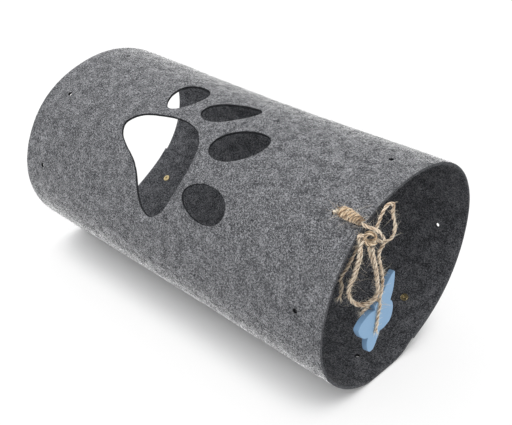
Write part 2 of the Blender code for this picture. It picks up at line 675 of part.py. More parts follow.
# Butterfly
def toy_frame():
    """Matrix whose X, Y and Z run along the wing, down the body and out of the front face."""
    normal = Vector((math.cos(TOY_TURN), math.sin(TOY_TURN), 0))
    level = Vector((-math.sin(TOY_TURN), math.cos(TOY_TURN), 0))
    down = -(UPWARD * math.cos(TOY_ROLL) + level * math.sin(TOY_ROLL))
    wing = down.cross(normal)
    turn = Matrix((wing, down, normal)).transposed().to_4x4()
    return Matrix.Translation(from_knot([TOY_FROM_KNOT])[0]) @ turn


def butterfly_outline():
    """Closed outline of the butterfly."""
    head = smooth_line(TOY_HEAD_OUTLINE, TOY_POINTS // 4)
    wing = smooth_line(TOY_WING_OUTLINE, TOY_POINTS // 2)
    lobe = smooth_line(TOY_LOBE_OUTLINE, TOY_POINTS // 2)
    half = np.vstack([head, wing[1:], lobe[1:]])
    other = half[-2:0:-1] * np.array([-1, 1])
    return np.vstack([half, other])


def butterfly(finish, frame, pivot):
    """The cut foam butterfly with softened edges, its origin on the turning axis."""
    curve = bpy.data.curves.new("butterfly", "CURVE")
    curve.dimensions = "2D"
    curve.fill_mode = "BOTH"
    curve.extrude = TOY_THICKNESS / 2
    outline = butterfly_outline()
    spline = curve.splines.new("POLY")
    spline.points.add(len(outline) - 1)
    for point, (u, v) in zip(spline.points, outline):
        point.co = (u, v, 0, 1)
    spline.use_cyclic_u = True
    thing = bpy.data.objects.new("butterfly", curve)
    bpy.context.scene.collection.objects.link(thing)
    thing.location.z = -TOY_THICKNESS / 2
    mesh = evaluated_mesh(thing)
    mesh.transform(frame)
    mesh.transform(Matrix.Translation(-pivot))
    made = object_from_mesh("butterfly_toy", mesh, finish)
    made.location = pivot
    soften = made.modifiers.new("edge", "BEVEL")
    soften.width = TOY_EDGE
    soften.segments = 1
    soften.limit_method = "ANGLE"
    soften.angle_limit = math.radians(60)
    return made


FELT = material("grey_felt", (0.19, 0.195, 0.21), 0.95, 0)
BRASS = material("brass", (0.72, 0.52, 0.24), 0.32, 1)
TWINE = material("jute_twine", (0.62, 0.46, 0.28), 0.9, 0)
FOAM = material("blue_foam", (0.30, 0.47, 0.67), 0.6, 0)

felt_sheet(FELT)
press_stud("near", STUD_X, BRASS)
press_stud("far", -STUD_X, BRASS)
lashing(TWINE)
bow_knot(TWINE)
twine("bow_loop", evenly(from_knot(BOW_ROUTE), BOW_SPACING), TWINE)
twine("hanging_loop_front", evenly(from_knot(FRONT_LOOP_ROUTE), BOW_SPACING), TWINE)
twine("hanging_loop_back", evenly(from_knot(BACK_LOOP_ROUTE), BOW_SPACING), TWINE)
twine("free_tail", evenly(from_knot(FREE_TAIL_ROUTE), BOW_SPACING), TWINE)

strand_points = from_knot(STRAND_ROUTE)
swing_pivot = strand_points[0]
turn_pivot = strand_points[-1]
strand_row = evenly(strand_points, BOW_SPACING)
twine("toy_strand", strand_row, TWINE, origin=swing_pivot, rounded_start=True)
placed = toy_frame()
tie_points = [placed @ Vector(point) for point in TIE_ROUTE]
twine("toy_tie", evenly(tie_points, FINE_SPACING), TWINE, origin=turn_pivot)
butterfly(FOAM, placed, turn_pivot)

print("hole", [round(v, 5) for v in HOLE_FRAME.translation])
print("axis height", round(AXIS_HEIGHT, 5), "sheet", round(SHEET_WIDTH, 4))
print("knot", [round(v, 5) for v in KNOT], "swing pivot", [round(v, 5) for v in swing_pivot])
print("turn pivot", [round(v, 5) for v in turn_pivot])
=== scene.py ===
"""Pet tunnel, dressed. A felt sheet rolled into a tube with a paw print cut through it, press
studs along its lap, a twine lashing with a bow, and a foam butterfly hung in one mouth.

Metres, +Z up, the tube along X. Sheet places are (x, arc, depth): arc runs round the roll from
its top towards -Y, and depth runs inwards from the outer face."""

import functools
import logging
import math
from collections.abc import Callable
from dataclasses import dataclass
from enum import Enum

import bpy
import numpy as np
from mathutils import Matrix, Vector, kdtree, noise
from mathutils.geometry import delaunay_2d_cdt


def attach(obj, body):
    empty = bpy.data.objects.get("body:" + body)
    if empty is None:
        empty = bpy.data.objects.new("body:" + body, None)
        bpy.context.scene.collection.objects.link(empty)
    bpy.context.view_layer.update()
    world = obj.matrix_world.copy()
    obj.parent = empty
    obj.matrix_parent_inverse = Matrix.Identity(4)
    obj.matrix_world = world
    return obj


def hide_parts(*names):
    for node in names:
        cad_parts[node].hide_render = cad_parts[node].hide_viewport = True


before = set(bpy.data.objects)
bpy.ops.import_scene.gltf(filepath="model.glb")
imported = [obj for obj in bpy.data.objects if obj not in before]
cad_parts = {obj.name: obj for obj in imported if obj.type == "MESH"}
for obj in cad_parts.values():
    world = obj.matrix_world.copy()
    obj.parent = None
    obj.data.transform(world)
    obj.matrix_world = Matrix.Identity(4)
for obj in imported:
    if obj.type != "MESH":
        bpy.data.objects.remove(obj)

LOG = logging.getLogger("pet_tunnel")
FULL_TURN = 2 * math.pi
QUARTER_TURN = math.pi / 2
MILLIMETRE = 0.001
LAY = "lay_place"
TWINE_DIAMETER = 0.0026
CURVE_STEPS = 24
ROUGH_STEPS = 8
STEEP = 0.9
SEED_SHARES = (1.0, 1.7, 0.3)
WHITE = (1, 1, 1, 1)
Placer = Callable[[np.ndarray, np.ndarray], np.ndarray]
Faces = list[tuple[int, ...]]
Span = tuple[float, float]
Spot = tuple[float, float, float]
Colour = tuple[float, float, float]
Outline = tuple[Span, ...]
Route = tuple[Spot, ...]


class Body(Enum):
    """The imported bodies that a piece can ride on."""

    TUNNEL = "tunnel"
    STRAND = "strand"
    BUTTERFLY = "butterfly"


class Slot(Enum):
    """The record's material slots."""

    FELT = "felt"
    BRASS = "brass"
    TWINE = "twine"
    FOAM = "foam"


class EndCut(Enum):
    """How a stretch of twine ends: drawn into the knot, or cut and frayed."""

    TUCKED = "tucked"
    FRAYED = "frayed"


# Lines


def smooth_line(points: np.ndarray, count: int) -> np.ndarray:
    """Lays a smooth curve through points.

    Args:
        points: The places that the curve goes through, in order.
        count: How many evenly spaced points to give back.

    Returns:
        The curve's points, one row each.
    """
    knots = np.array([tuple(point) for point in points], dtype=float)
    padded = np.vstack([2 * knots[0] - knots[1], knots, 2 * knots[-1] - knots[-2]])
    steps = np.linspace(0, 1, CURVE_STEPS, endpoint=False)[:, None]
    pieces = []
    for a, b, c, d in zip(padded, padded[1:], padded[2:], padded[3:]):
        linear = (c - a) * steps
        square = (2 * a - 5 * b + 4 * c - d) * steps**2
        cube = (3 * b - a - 3 * c + d) * steps**3
        pieces.append(b + (linear + square + cube) / 2)
    return spaced(np.vstack([*pieces, knots[-1:]]), count)


def travelled(line: np.ndarray) -> np.ndarray:
    """Gives the distance along a line at each of its points."""
    return np.concatenate([[0], np.cumsum(np.linalg.norm(np.diff(line, axis=0), axis=1))])


def spaced(line: np.ndarray, count: int) -> np.ndarray:
    """Gives evenly spaced points along a line, in the number asked for.

    Args:
        line: The line's points.
        count: How many points to give back.

    Returns:
        The points, one row each.
    """
    along = travelled(line)
    wanted = np.linspace(0, along[-1], count)
    return np.stack([np.interp(wanted, along, axis) for axis in line.T], axis=1)


def evenly(points: np.ndarray, spacing: float) -> np.ndarray:
    """Gives a smooth line's points with about the spacing between them."""
    rough = smooth_line(points, ROUGH_STEPS * len(points))
    return smooth_line(points, max(3, round(travelled(rough)[-1] / spacing) + 1))


def units(vectors: np.ndarray) -> np.ndarray:
    """Scales each row to length one."""
    return vectors / np.linalg.norm(vectors, axis=-1)[..., None]


def carried_frames(line: np.ndarray) -> tuple[np.ndarray, np.ndarray, np.ndarray]:
    """Carries a pair of square directions along a line with as little turning as can be.

    Args:
        line: The line's points.

    Returns:
        The direction along the line, and the two across it, at each point.
    """
    along = units(np.gradient(line, axis=0))
    across = np.zeros_like(line)
    reference = (0, 0, 1) if abs(along[0][2]) < STEEP else (1, 0, 0)
    across[0] = units(np.cross(along[0], reference))
    for index in range(1, len(line)):
        before = across[index - 1]
        across[index] = units(before - along[index] * np.dot(before, along[index]))
    return along, across, np.cross(along, across)


def rings_round(line: np.ndarray, radius: np.ndarray, angle: np.ndarray) -> np.ndarray:
    """Lays a ring of points round each point of a line.

    Args:
        line: The line's points.
        radius: The rings' radii, one row for each ring.
        angle: The points' angles, in a shape that fits the radii.

    Returns:
        The points, ring after ring.
    """
    _, across, up = carried_frames(line)
    level = (radius * np.cos(angle))[..., None] * across[:, None, :]
    raised = (radius * np.sin(angle))[..., None] * up[:, None, :]
    return (line[:, None, :] + level + raised).reshape(-1, 3)


def unevenness(places: np.ndarray, wavelength: float, seed: float) -> np.ndarray:
    """Gives smooth noise from -1 to 1 at places in space, with about the wavelength."""
    shift = Vector([seed * share for share in SEED_SHARES])
    return np.array([noise.noise(Vector(place) / wavelength + shift) for place in places])


# Meshes


class MeshDraft:
    """Gathers the points, faces, finish numbers and lay places of one piece."""

    def __init__(self) -> None:
        """Starts with nothing in it."""
        self.points: list[np.ndarray] = []
        self.lays: list[np.ndarray] = []
        self.faces: Faces = []
        self.finishes: list[int] = []
        self.count = 0

    def add(self, points: np.ndarray, faces: Faces, lays: np.ndarray | None = None) -> None:
        """Adds one part of the piece, with finish 0.

        Args:
            points: The part's own points.
            faces: Its faces, as indices into those points.
            lays: Where each point lies in the straightened material, if that differs.
        """
        self.points.append(points)
        self.lays.append(points if lays is None else lays)
        self.faces += [tuple(index + self.count for index in face) for face in faces]
        self.finishes += [0] * len(faces)
        self.count += len(points)

    def piece(self, name: str, finishes: list[bpy.types.Material]) -> bpy.types.Object:
        """Makes the object.

        Args:
            name: The piece's name.
            finishes: The materials that the finish numbers stand for.

        Returns:
            The new object, in the scene.
        """
        mesh = bpy.data.meshes.new(name)
        mesh.from_pydata(np.vstack(self.points).tolist(), [], self.faces)
        for finish in finishes:
            mesh.materials.append(finish)
        mesh.polygons.foreach_set("material_index", self.finishes)
        layer = mesh.attributes.new(LAY, "FLOAT_VECTOR", "POINT")
        layer.data.foreach_set("vector", np.vstack(self.lays).astype(np.float32).ravel())
        mesh.shade_smooth()
        mesh.update()
        made = bpy.data.objects.new(name, mesh)
        bpy.context.scene.collection.objects.link(made)
        return made


def band_faces(rings: int, sides: int) -> Faces:
    """Lists the four-sided faces between closed rings of points that follow each other.

    Args:
        rings: How many rings there are.
        sides: How many points each has.

    Returns:
        The faces, ring after ring.
    """
    faces = []
    for ring in range(rings - 1):
        low, high = ring * sides, (ring + 1) * sides
        for side in range(sides):
            after = (side + 1) % sides
            faces.append((low + side, low + after, high + after, high + side))
    return faces


def flipped(faces: Faces) -> Faces:
    """Turns faces over."""
    return [tuple(reversed(face)) for face in faces]


def ring_offset(outline: np.ndarray, distance: float) -> np.ndarray:
    """Moves a closed outline to the left of its own direction by a distance."""
    along = units(np.roll(outline, -1, axis=0) - np.roll(outline, 1, axis=0))
    return outline + np.stack([-along[:, 1], along[:, 0]], axis=1) * distance


def signed_area(outline: np.ndarray) -> float:
    """Gives the area in a closed outline, below zero where it runs clockwise."""
    x, y = outline.T
    return float(np.sum(x * np.roll(y, -1) - np.roll(x, -1) * y)) / 2


def leftward(outline: np.ndarray, solid_inside: bool) -> np.ndarray:
    """Orders an outline so that the material lies to the left of its direction."""
    return outline if (signed_area(outline) > 0) == solid_inside else outline[::-1]


def circle(centre: Span, radius: float, sides: int) -> np.ndarray:
    """Gives the points of a circle on a flat sheet."""
    angle = FULL_TURN * np.arange(sides) / sides
    return np.array(centre) + radius * np.stack([np.cos(angle), np.sin(angle)], axis=1)


def inside(points: np.ndarray, outline: np.ndarray) -> np.ndarray:
    """Says which points of the plane lie inside a closed outline.

    Args:
        points: Places in the plane, one row each.
        outline: The outline's points, in order.

    Returns:
        True for each point inside, False for the others.
    """
    result = np.zeros(len(points), dtype=bool)
    near = ((points >= outline.min(axis=0)) & (points <= outline.max(axis=0))).all(axis=1)
    x, y = points[near].T
    odd = np.zeros(len(x), dtype=bool)
    for (ax, ay), (bx, by) in zip(outline, np.roll(outline, -1, axis=0)):
        if ay != by:
            crosses = ((ay > y) != (by > y)) & (x < (bx - ax) * (y - ay) / (by - ay) + ax)
            odd ^= crosses
    result[near] = odd
    return result


def on_plate(points: np.ndarray, loops: list[np.ndarray]) -> np.ndarray:
    """Says which points lie inside the first outline and outside all the others."""
    held = [inside(points, loop) for loop in loops]
    return held[0] & ~np.any(held[1:], axis=0)


@dataclass(frozen=True)
class CutPlate:
    """A flat plate with a cut outline, cut-outs and softened edges.

    The outline runs so that the plate lies on its left, and so does each cut-out. Creases are
    closed lines on the plate's faces that its triangles keep to.
    """

    outline: np.ndarray
    cutouts: tuple[np.ndarray, ...]
    creases: tuple[np.ndarray, ...]
    thickness: float
    edge_round: float
    grid_step: float
    edge_steps: int = 3
    grid_clearance: float = 0.45
    join_tolerance: float = 1e-6

    def wall_profile(self) -> list[Span]:
        """Gives setback and depth from one face, round its edge and down to the other face.

        Returns:
            The setback and depth pairs, in order.
        """
        rows = []
        for step in range(self.edge_steps + 1):
            angle = QUARTER_TURN * step / self.edge_steps
            back = self.edge_round * (1 - math.sin(angle))
            rows.append((back, self.edge_round * (1 - math.cos(angle))))
        return rows + [(back, self.thickness - depth) for back, depth in reversed(rows)]

    def face_layout(self) -> tuple[np.ndarray, np.ndarray, list[int]]:
        """Triangulates a face between its setback outline and cut-outs.

        Returns:
            The layout's points, its triangles, and where each wall's ring starts in the points.
        """
        loops = [ring_offset(loop, self.edge_round) for loop in (self.outline, *self.cutouts)]
        bounds = loops + list(self.creases)
        starts = list(np.cumsum([0] + [len(loop) for loop in bounds]))
        edges = []
        for start, loop in zip(starts, bounds):
            count = len(loop)
            edges += [(start + step, start + (step + 1) % count) for step in range(count)]
        fixed = np.vstack(bounds)
        grid = self.grid_points(loops, fixed)
        points = np.vstack([fixed, grid]) / MILLIMETRE
        rows = [Vector(point) for point in points.tolist()]
        made = delaunay_2d_cdt(rows, edges, [], 0, self.join_tolerance, True)
        places = np.array([tuple(vertex) for vertex in made[0]]) * MILLIMETRE
        triangles = np.array(made[2])
        keep = on_plate(places[triangles].mean(axis=1), loops)
        came_from = {row[0]: index for index, row in enumerate(made[3]) if row}
        order = [came_from[index] for index in range(len(points))]
        back = {index: place for place, index in enumerate(order)}
        kept = [[back[index] for index in face] for face in triangles[keep].tolist()]
        return places[order], np.array(kept), starts[: len(loops)]

    def grid_points(self, loops: list[np.ndarray], fixed: np.ndarray) -> np.ndarray:
        """Spreads points over the plate's face, clear of the outlines' own points.

        Args:
            loops: The face's outline and its cut-outs.
            fixed: The points of all outlines and creases.

        Returns:
            The grid's points, one row each.
        """
        low, high = self.outline.min(axis=0), self.outline.max(axis=0)
        counts = np.maximum(2, np.round((high - low) / self.grid_step).astype(int))
        axes = [np.linspace(a, b, n + 1)[1:-1] for a, b, n in zip(low, high, counts)]
        grid = np.stack(np.meshgrid(*axes, indexing="ij"), axis=-1).reshape(-1, 2)
        grid = grid[on_plate(grid, loops)]
        tree = kdtree.KDTree(len(fixed))
        for index, point in enumerate(fixed):
            tree.insert((*point, 0), index)
        tree.balance()
        clear = self.grid_clearance * self.grid_step
        return grid[[tree.find((*point, 0))[2] > clear for point in grid]]

    def fill(
        self, draft: MeshDraft, place: Placer, wall_finishes: list[int], back_finish: int
    ) -> None:
        """Adds the plate to a draft, its front with finish 0.

        Args:
            draft: The draft that gets the plate.
            place: A function of flat points and depths that gives points in space.
            wall_finishes: The finish numbers of the outline's wall and of each cut-out's.
            back_finish: The finish number of the other face.
        """
        layout, triangles, starts = self.face_layout()
        count = len(layout)
        fronts = place(layout, np.zeros(count))
        backs = place(layout, np.full(count, self.thickness))
        rows = [np.column_stack([layout, np.full(count, deep)]) for deep in (0, self.thickness)]
        spots = [fronts, backs]
        profile = self.wall_profile()
        walls, wall_numbers = [], []
        used = 2 * count
        for start, loop, number in zip(starts, (self.outline, *self.cutouts), wall_finishes):
            sides = len(loop)
            wall_numbers += [number] * (sides * (len(profile) - 1))
            rings = [list(range(start, start + sides))]
            for back, depth in profile[1:-1]:
                ring = ring_offset(loop, back)
                rows.append(np.column_stack([ring, np.full(sides, depth)]))
                spots.append(place(ring, np.full(sides, depth)))
                rings.append(list(range(used, used + sides)))
                used += sides
            rings.append([index + count for index in rings[0]])
            for ring, after in zip(rings, rings[1:]):
                for side in range(sides):
                    other = (side + 1) % sides
                    walls.append((ring[other], ring[side], after[side], after[other]))
        front_faces = [tuple(face) for face in triangles.tolist()]
        back_faces = [tuple(index + count for index in reversed(face)) for face in front_faces]
        draft.add(np.vstack(spots), front_faces, np.vstack(rows))
        draft.faces += back_faces + walls
        draft.finishes += [back_finish] * len(back_faces) + wall_numbers


@dataclass(frozen=True)
class LooseFibre:
    """One kind of loose fibre: a thin three-sided hair that tapers."""

    radius: float
    steps: int
    sides: int = 3
    taper: float = 0.6
    lay_shares: Span = (0.2, 0.1)

    def add(
        self,
        draft: MeshDraft,
        start: np.ndarray,
        lean: np.ndarray,
        bend: np.ndarray,
        length: float,
    ) -> None:
        """Adds one fibre to a draft.

        Args:
            draft: The draft that gets the fibre.
            start: Where it leaves the surface.
            lean: The direction in which it starts.
            bend: How far its tip is bent aside, as a share of its length.
            length: Its length.
        """
        share = np.linspace(0, 1, self.steps + 1)[:, None]
        self.follow(draft, start + length * (share * lean + share**2 * bend))

    def follow(self, draft: MeshDraft, centre: np.ndarray) -> None:
        """Adds a fibre along a line of points, thick at the first of them.

        Args:
            draft: The draft that gets the fibre.
            centre: The fibre's centre line, from its root.
        """
        share = np.linspace(0, 1, len(centre))[:, None]
        angle = FULL_TURN * np.arange(self.sides) / self.sides
        spots = rings_round(centre, self.radius * (1 - self.taper * share), angle)
        low, high = range(self.sides), range(len(spots) - self.sides, len(spots))
        faces = band_faces(len(centre), self.sides) + [tuple(reversed(low)), tuple(high)]
        lays = np.zeros((len(spots), 3))
        lays[:, 0] = centre[0][0] * self.lay_shares[0] + centre[0][2] * self.lay_shares[1]
        lays[:, 2] = np.repeat(travelled(centre), self.sides)
        draft.add(spots, flipped(faces), lays)


# Materials


class NodeBench:
    """Puts nodes into one tree and links them."""

    def __init__(self, tree: bpy.types.NodeTree) -> None:
        """Takes the tree to work in."""
        self.tree = tree

    def put(self, kind: str, sockets: dict | None = None, **settings: object) -> bpy.types.Node:
        """Adds a shader node.

        Args:
            kind: The node's type without its ShaderNode prefix.
            sockets: Values or output sockets for its inputs, by name or number.
            **settings: Properties of the node itself.

        Returns:
            The new node.
        """
        node = self.tree.nodes.new("ShaderNode" + kind)
        for name, value in settings.items():
            setattr(node, name, value)
        self.wire(node, sockets or {})
        return node

    def wire(self, node: bpy.types.Node, sockets: dict) -> None:
        """Sets or links a node's inputs, by name or number.

        Args:
            node: The node.
            sockets: Values or output sockets for its inputs.
        """
        for name, value in sockets.items():
            if isinstance(value, bpy.types.NodeSocket):
                self.tree.links.new(value, node.inputs[name])
            else:
                node.inputs[name].default_value = value

    def group(self, tree: bpy.types.NodeTree, sockets: dict) -> bpy.types.Node:
        """Places a node group and sets its inputs.

        Args:
            tree: The node group.
            sockets: Values or output sockets for its inputs.

        Returns:
            The new node.
        """
        node = self.tree.nodes.new("ShaderNodeGroup")
        node.node_tree = tree
        self.wire(node, sockets)
        return node

    def maths(self, operation: str, first: object, second: object = 0.0) -> bpy.types.NodeSocket:
        """Adds a Math node and gives its output."""
        return self.put("Math", {0: first, 1: second}, operation=operation).outputs[0]

    def scaled(self, value: object, gain: float, base: float) -> bpy.types.NodeSocket:
        """Multiplies a value by a gain and adds a base."""
        return self.maths("ADD", self.maths("MULTIPLY", value, gain), base)

    def summed(self, values: tuple, shares: tuple[float, ...]) -> bpy.types.NodeSocket:
        """Adds up values, each times its share.

        Args:
            values: The output sockets to add up.
            shares: A factor for each of them.

        Returns:
            The sum's output socket.
        """
        total = self.maths("MULTIPLY", values[0], shares[0])
        for value, share in zip(values[1:], shares[1:]):
            total = self.maths("ADD", total, self.maths("MULTIPLY", value, share))
        return total

    def vectors(self, operation: str, first: object, second: object) -> bpy.types.NodeSocket:
        """Adds a Vector Math node of two vectors and gives its output."""
        return self.put("VectorMath", {0: first, 1: second}, operation=operation).outputs[0]

    def noise(self, place: object, scale: object, detail: float, **more: float) -> bpy.types.Node:
        """Adds a Noise Texture, with its other inputs by name."""
        return self.put("TexNoise", {"Vector": place, "Scale": scale, "Detail": detail, **more})

    def relief(self, height: object, depth: float, strength: float) -> bpy.types.NodeSocket:
        """Adds a Bump node and gives its normal."""
        sockets = {"Height": height, "Distance": depth, "Strength": strength}
        return self.put("Bump", sockets).outputs["Normal"]

    def mapped(self, value: object, low: float, high: float) -> bpy.types.NodeSocket:
        """Maps a value from low..high onto 0..1, smoothly and clamped."""
        sockets = {"Value": value, "From Min": low, "From Max": high}
        return self.put("MapRange", sockets, interpolation_type="SMOOTHSTEP").outputs["Result"]

    def colours(self, value: object, stops: tuple) -> bpy.types.NodeSocket:
        """Turns a value into a colour through stops of (place, colour).

        Args:
            value: The value's output socket.
            stops: Pairs of a place and a colour, from 0 to 1.

        Returns:
            The colour's output socket.
        """
        node = self.put("ValToRGB", {"Fac": value})
        ramp = node.color_ramp
        for index, (place, colour) in enumerate(stops):
            stop = ramp.elements[index] if index < 2 else ramp.elements.new(place)
            stop.position = place
            stop.color = (*colour, 1)
        return node.outputs["Color"]

    def between(self, share: object, first: object, second: object) -> bpy.types.NodeSocket:
        """Mixes two values by a share."""
        return self.put("Mix", {0: share, 2: first, 3: second}, data_type="FLOAT").outputs[0]

    def blended(self, share: object, first: object, second: object) -> bpy.types.NodeSocket:
        """Mixes two colours by a share.

        Args:
            share: How much of the second colour there is.
            first: The colour at share 0.
            second: The colour at share 1.

        Returns:
            The mixed colour's output socket.
        """
        node = self.put("Mix", data_type="RGBA")
        self.wire(node, {0: share, 6: first, 7: second})
        return node.outputs[2]


def effect_tree(name: str, inputs: dict[str, str], outputs: dict[str, str]) -> NodeBench:
    """Starts a shader node group.

    Args:
        name: The group's name.
        inputs: Socket types by input name.
        outputs: Socket types by output name.

    Returns:
        A bench in the new group, with its group input and output placed.
    """
    tree = bpy.data.node_groups.new(name, "ShaderNodeTree")
    for label, kind in inputs.items():
        tree.interface.new_socket(name=label, in_out="INPUT", socket_type="NodeSocket" + kind)
    for label, kind in outputs.items():
        tree.interface.new_socket(name=label, in_out="OUTPUT", socket_type="NodeSocket" + kind)
    bench = NodeBench(tree)
    tree.nodes.new("NodeGroupInput")
    tree.nodes.new("NodeGroupOutput")
    return bench


@dataclass(frozen=True)
class Effects:
    """The shader node groups that more than one finish uses, each built once."""

    roughness: float = 0.6
    bend_scale: float = 70.0
    bend_reach: float = 0.012
    fibre_turns: tuple[float, ...] = (15, 60, 105, 150)
    patch_scale: float = 240.0
    patch_span: Span = (0.46, 0.54)
    curl_scale_share: float = 0.45
    curl_width: float = 0.04
    curl_height: float = 0.10
    felt_shares: tuple[float, ...] = (0.55, 0.30, 0.15)
    wide_scale: float = 0.31
    streak_shares: Span = (0.6, 0.4)
    pit_span: Span = (0.08, 0.30)
    grain_span: Span = (0.45, 0.7)
    smudge_span: Span = (0.35, 0.7)

    @functools.cached_property
    def matted_fibres(self) -> bpy.types.NodeTree:
        """Pressed wool: short bent fibres that lie every way, specks and soft clouds.

        Returns:
            The node group.
        """
        inputs = {"Place": "Vector", "Across": "Float", "Along": "Float", "Cloud Scale": "Float"}
        outputs = {"Mask": "Float", "Light Fibres": "Float", "Height": "Float"}
        bench = effect_tree("matted_fibres", inputs, outputs)
        source = bench.tree.nodes["Group Input"].outputs
        place, across, along = source["Place"], source["Across"], source["Along"]
        bend = bench.noise(place, self.bend_scale, 1.0).outputs["Color"]
        sockets = {0: bend, "Scale": self.bend_reach}
        shift = bench.put("VectorMath", sockets, operation="SCALE").outputs[0]
        bent = bench.vectors("ADD", place, shift)
        stretch = bench.put("CombineXYZ", {0: along, 1: across, 2: across}).outputs[0]
        layers = []
        for turn in self.fibre_turns:
            sockets = {"Vector": bent, "Angle": math.radians(turn)}
            turned = bench.put("VectorRotate", sockets, rotation_type="Z_AXIS").outputs[0]
            drawn = bench.vectors("MULTIPLY", turned, stretch)
            layer = bench.noise(drawn, 1.0, 2.0, Roughness=self.roughness)
            layers.append(layer.outputs["Fac"])
        patches = bench.noise(place, self.patch_scale, 1.0).outputs["Color"]
        parts = bench.put("SeparateColor", {0: patches}).outputs
        picks = [bench.mapped(part, *self.patch_span) for part in parts]
        first = bench.between(picks[0], layers[0], layers[2])
        second = bench.between(picks[1], layers[1], layers[3])
        fibres = bench.between(picks[2], first, second)
        specks = bench.noise(place, across, 2.0, Distortion=1.0).outputs["Fac"]
        clouds = bench.noise(place, source["Cloud Scale"], 3.0).outputs["Fac"]
        curl_scale = bench.maths("MULTIPLY", across, self.curl_scale_share)
        curls = bench.noise(place, curl_scale, 1.0, Distortion=3.0).outputs["Fac"]
        away = bench.maths("ABSOLUTE", bench.maths("SUBTRACT", curls, 0.5))
        lines = bench.maths("SUBTRACT", 1.0, bench.mapped(away, 0.0, self.curl_width))
        total = bench.summed((fibres, specks, clouds), self.felt_shares)
        raised = bench.maths("MULTIPLY", lines, self.curl_height)
        height = bench.maths("ADD", total, raised)
        target = bench.tree.nodes["Group Output"]
        bench.wire(target, {"Mask": total, "Light Fibres": lines, "Height": height})
        return bench.tree

    @functools.cached_property
    def drawn_streaks(self) -> bpy.types.NodeTree:
        """Fine streaks along the third axis of the place given, as in spun bast fibre.

        Returns:
            The node group.
        """
        inputs = {"Place": "Vector", "Across Scale": "Float", "Along Scale": "Float"}
        outputs = {"Mask": "Float", "Height": "Float"}
        bench = effect_tree("drawn_streaks", inputs, outputs)
        source = bench.tree.nodes["Group Input"].outputs
        across, along = source["Across Scale"], source["Along Scale"]
        stretch = bench.put("CombineXYZ", {0: across, 1: across, 2: along}).outputs[0]
        drawn = bench.vectors("MULTIPLY", source["Place"], stretch)
        rough = {"Roughness": self.roughness}
        fine = bench.noise(drawn, 1.0, 3.0, Distortion=0.4, **rough).outputs["Fac"]
        wide = bench.noise(drawn, self.wide_scale, 2.0, Distortion=0.6, **rough).outputs["Fac"]
        total = bench.summed((fine, wide), self.streak_shares)
        bench.wire(bench.tree.nodes["Group Output"], {"Mask": total, "Height": fine})
        return bench.tree

    @functools.cached_property
    def handled_surface(self) -> bpy.types.NodeTree:
        """Smudges and small pits, as handling leaves on a smooth surface.

        Returns:
            The node group.
        """
        inputs = {"Place": "Vector", "Smudge Scale": "Float", "Pit Scale": "Float"}
        outputs = {"Smudges": "Float", "Pits": "Float", "Height": "Float"}
        bench = effect_tree("handled_surface", inputs, outputs)
        source = bench.tree.nodes["Group Input"].outputs
        place, fine = source["Place"], source["Pit Scale"]
        smudge = bench.noise(place, source["Smudge Scale"], 4.0, Distortion=0.8).outputs["Fac"]
        grain = bench.noise(place, fine, 2.0).outputs["Fac"]
        cells = bench.put("TexVoronoi", {"Vector": place, "Scale": fine}).outputs["Distance"]
        pits = bench.maths("SUBTRACT", 1.0, bench.mapped(cells, *self.pit_span))
        pits = bench.maths("MULTIPLY", pits, bench.mapped(grain, *self.grain_span))
        height = bench.maths("SUBTRACT", grain, pits)
        smudges = bench.mapped(smudge, *self.smudge_span)
        target = bench.tree.nodes["Group Output"]
        bench.wire(target, {"Smudges": smudges, "Pits": pits, "Height": height})
        return bench.tree


EFFECTS = Effects()


class SurfaceBench(NodeBench):
    """Puts nodes into a new material and wires its Principled shader."""

    def __init__(self, name: str) -> None:
        """Starts the material.

        Args:
            name: The material's name.
        """
        self.made = bpy.data.materials.new(name)
        self.made.use_nodes = True
        super().__init__(self.made.node_tree)

    def lay(self) -> bpy.types.NodeSocket:
        """Gives places in the straightened material."""
        return self.put("Attribute", attribute_name=LAY).outputs["Vector"]

    def marks(self, smudge_scale: float, pit_scale: float) -> bpy.types.NodeOutputs:
        """Adds the smudges and pits of a handled surface.

        Args:
            smudge_scale: The smudges' noise scale.
            pit_scale: The pits' noise scale.

        Returns:
            The outputs Smudges, Pits and Height.
        """
        sockets = {"Smudge Scale": smudge_scale, "Pit Scale": pit_scale}
        sockets["Place"] = self.put("TexCoord").outputs["Object"]
        return self.group(EFFECTS.handled_surface, sockets).outputs

    def finished(
        self, colour: object, rough: object, normal: object, rest: dict[str, object]
    ) -> bpy.types.Material:
        """Wires the shader and gives the material.

        Args:
            colour: The base colour's socket.
            rough: The roughness's socket.
            normal: The normal's socket.
            rest: The shader's other inputs, by name.

        Returns:
            The finished material.
        """
        sockets = {"Base Color": colour, "Roughness": rough, "Normal": normal}
        self.wire(self.tree.nodes["Principled BSDF"], {**sockets, **rest})
        return self.made


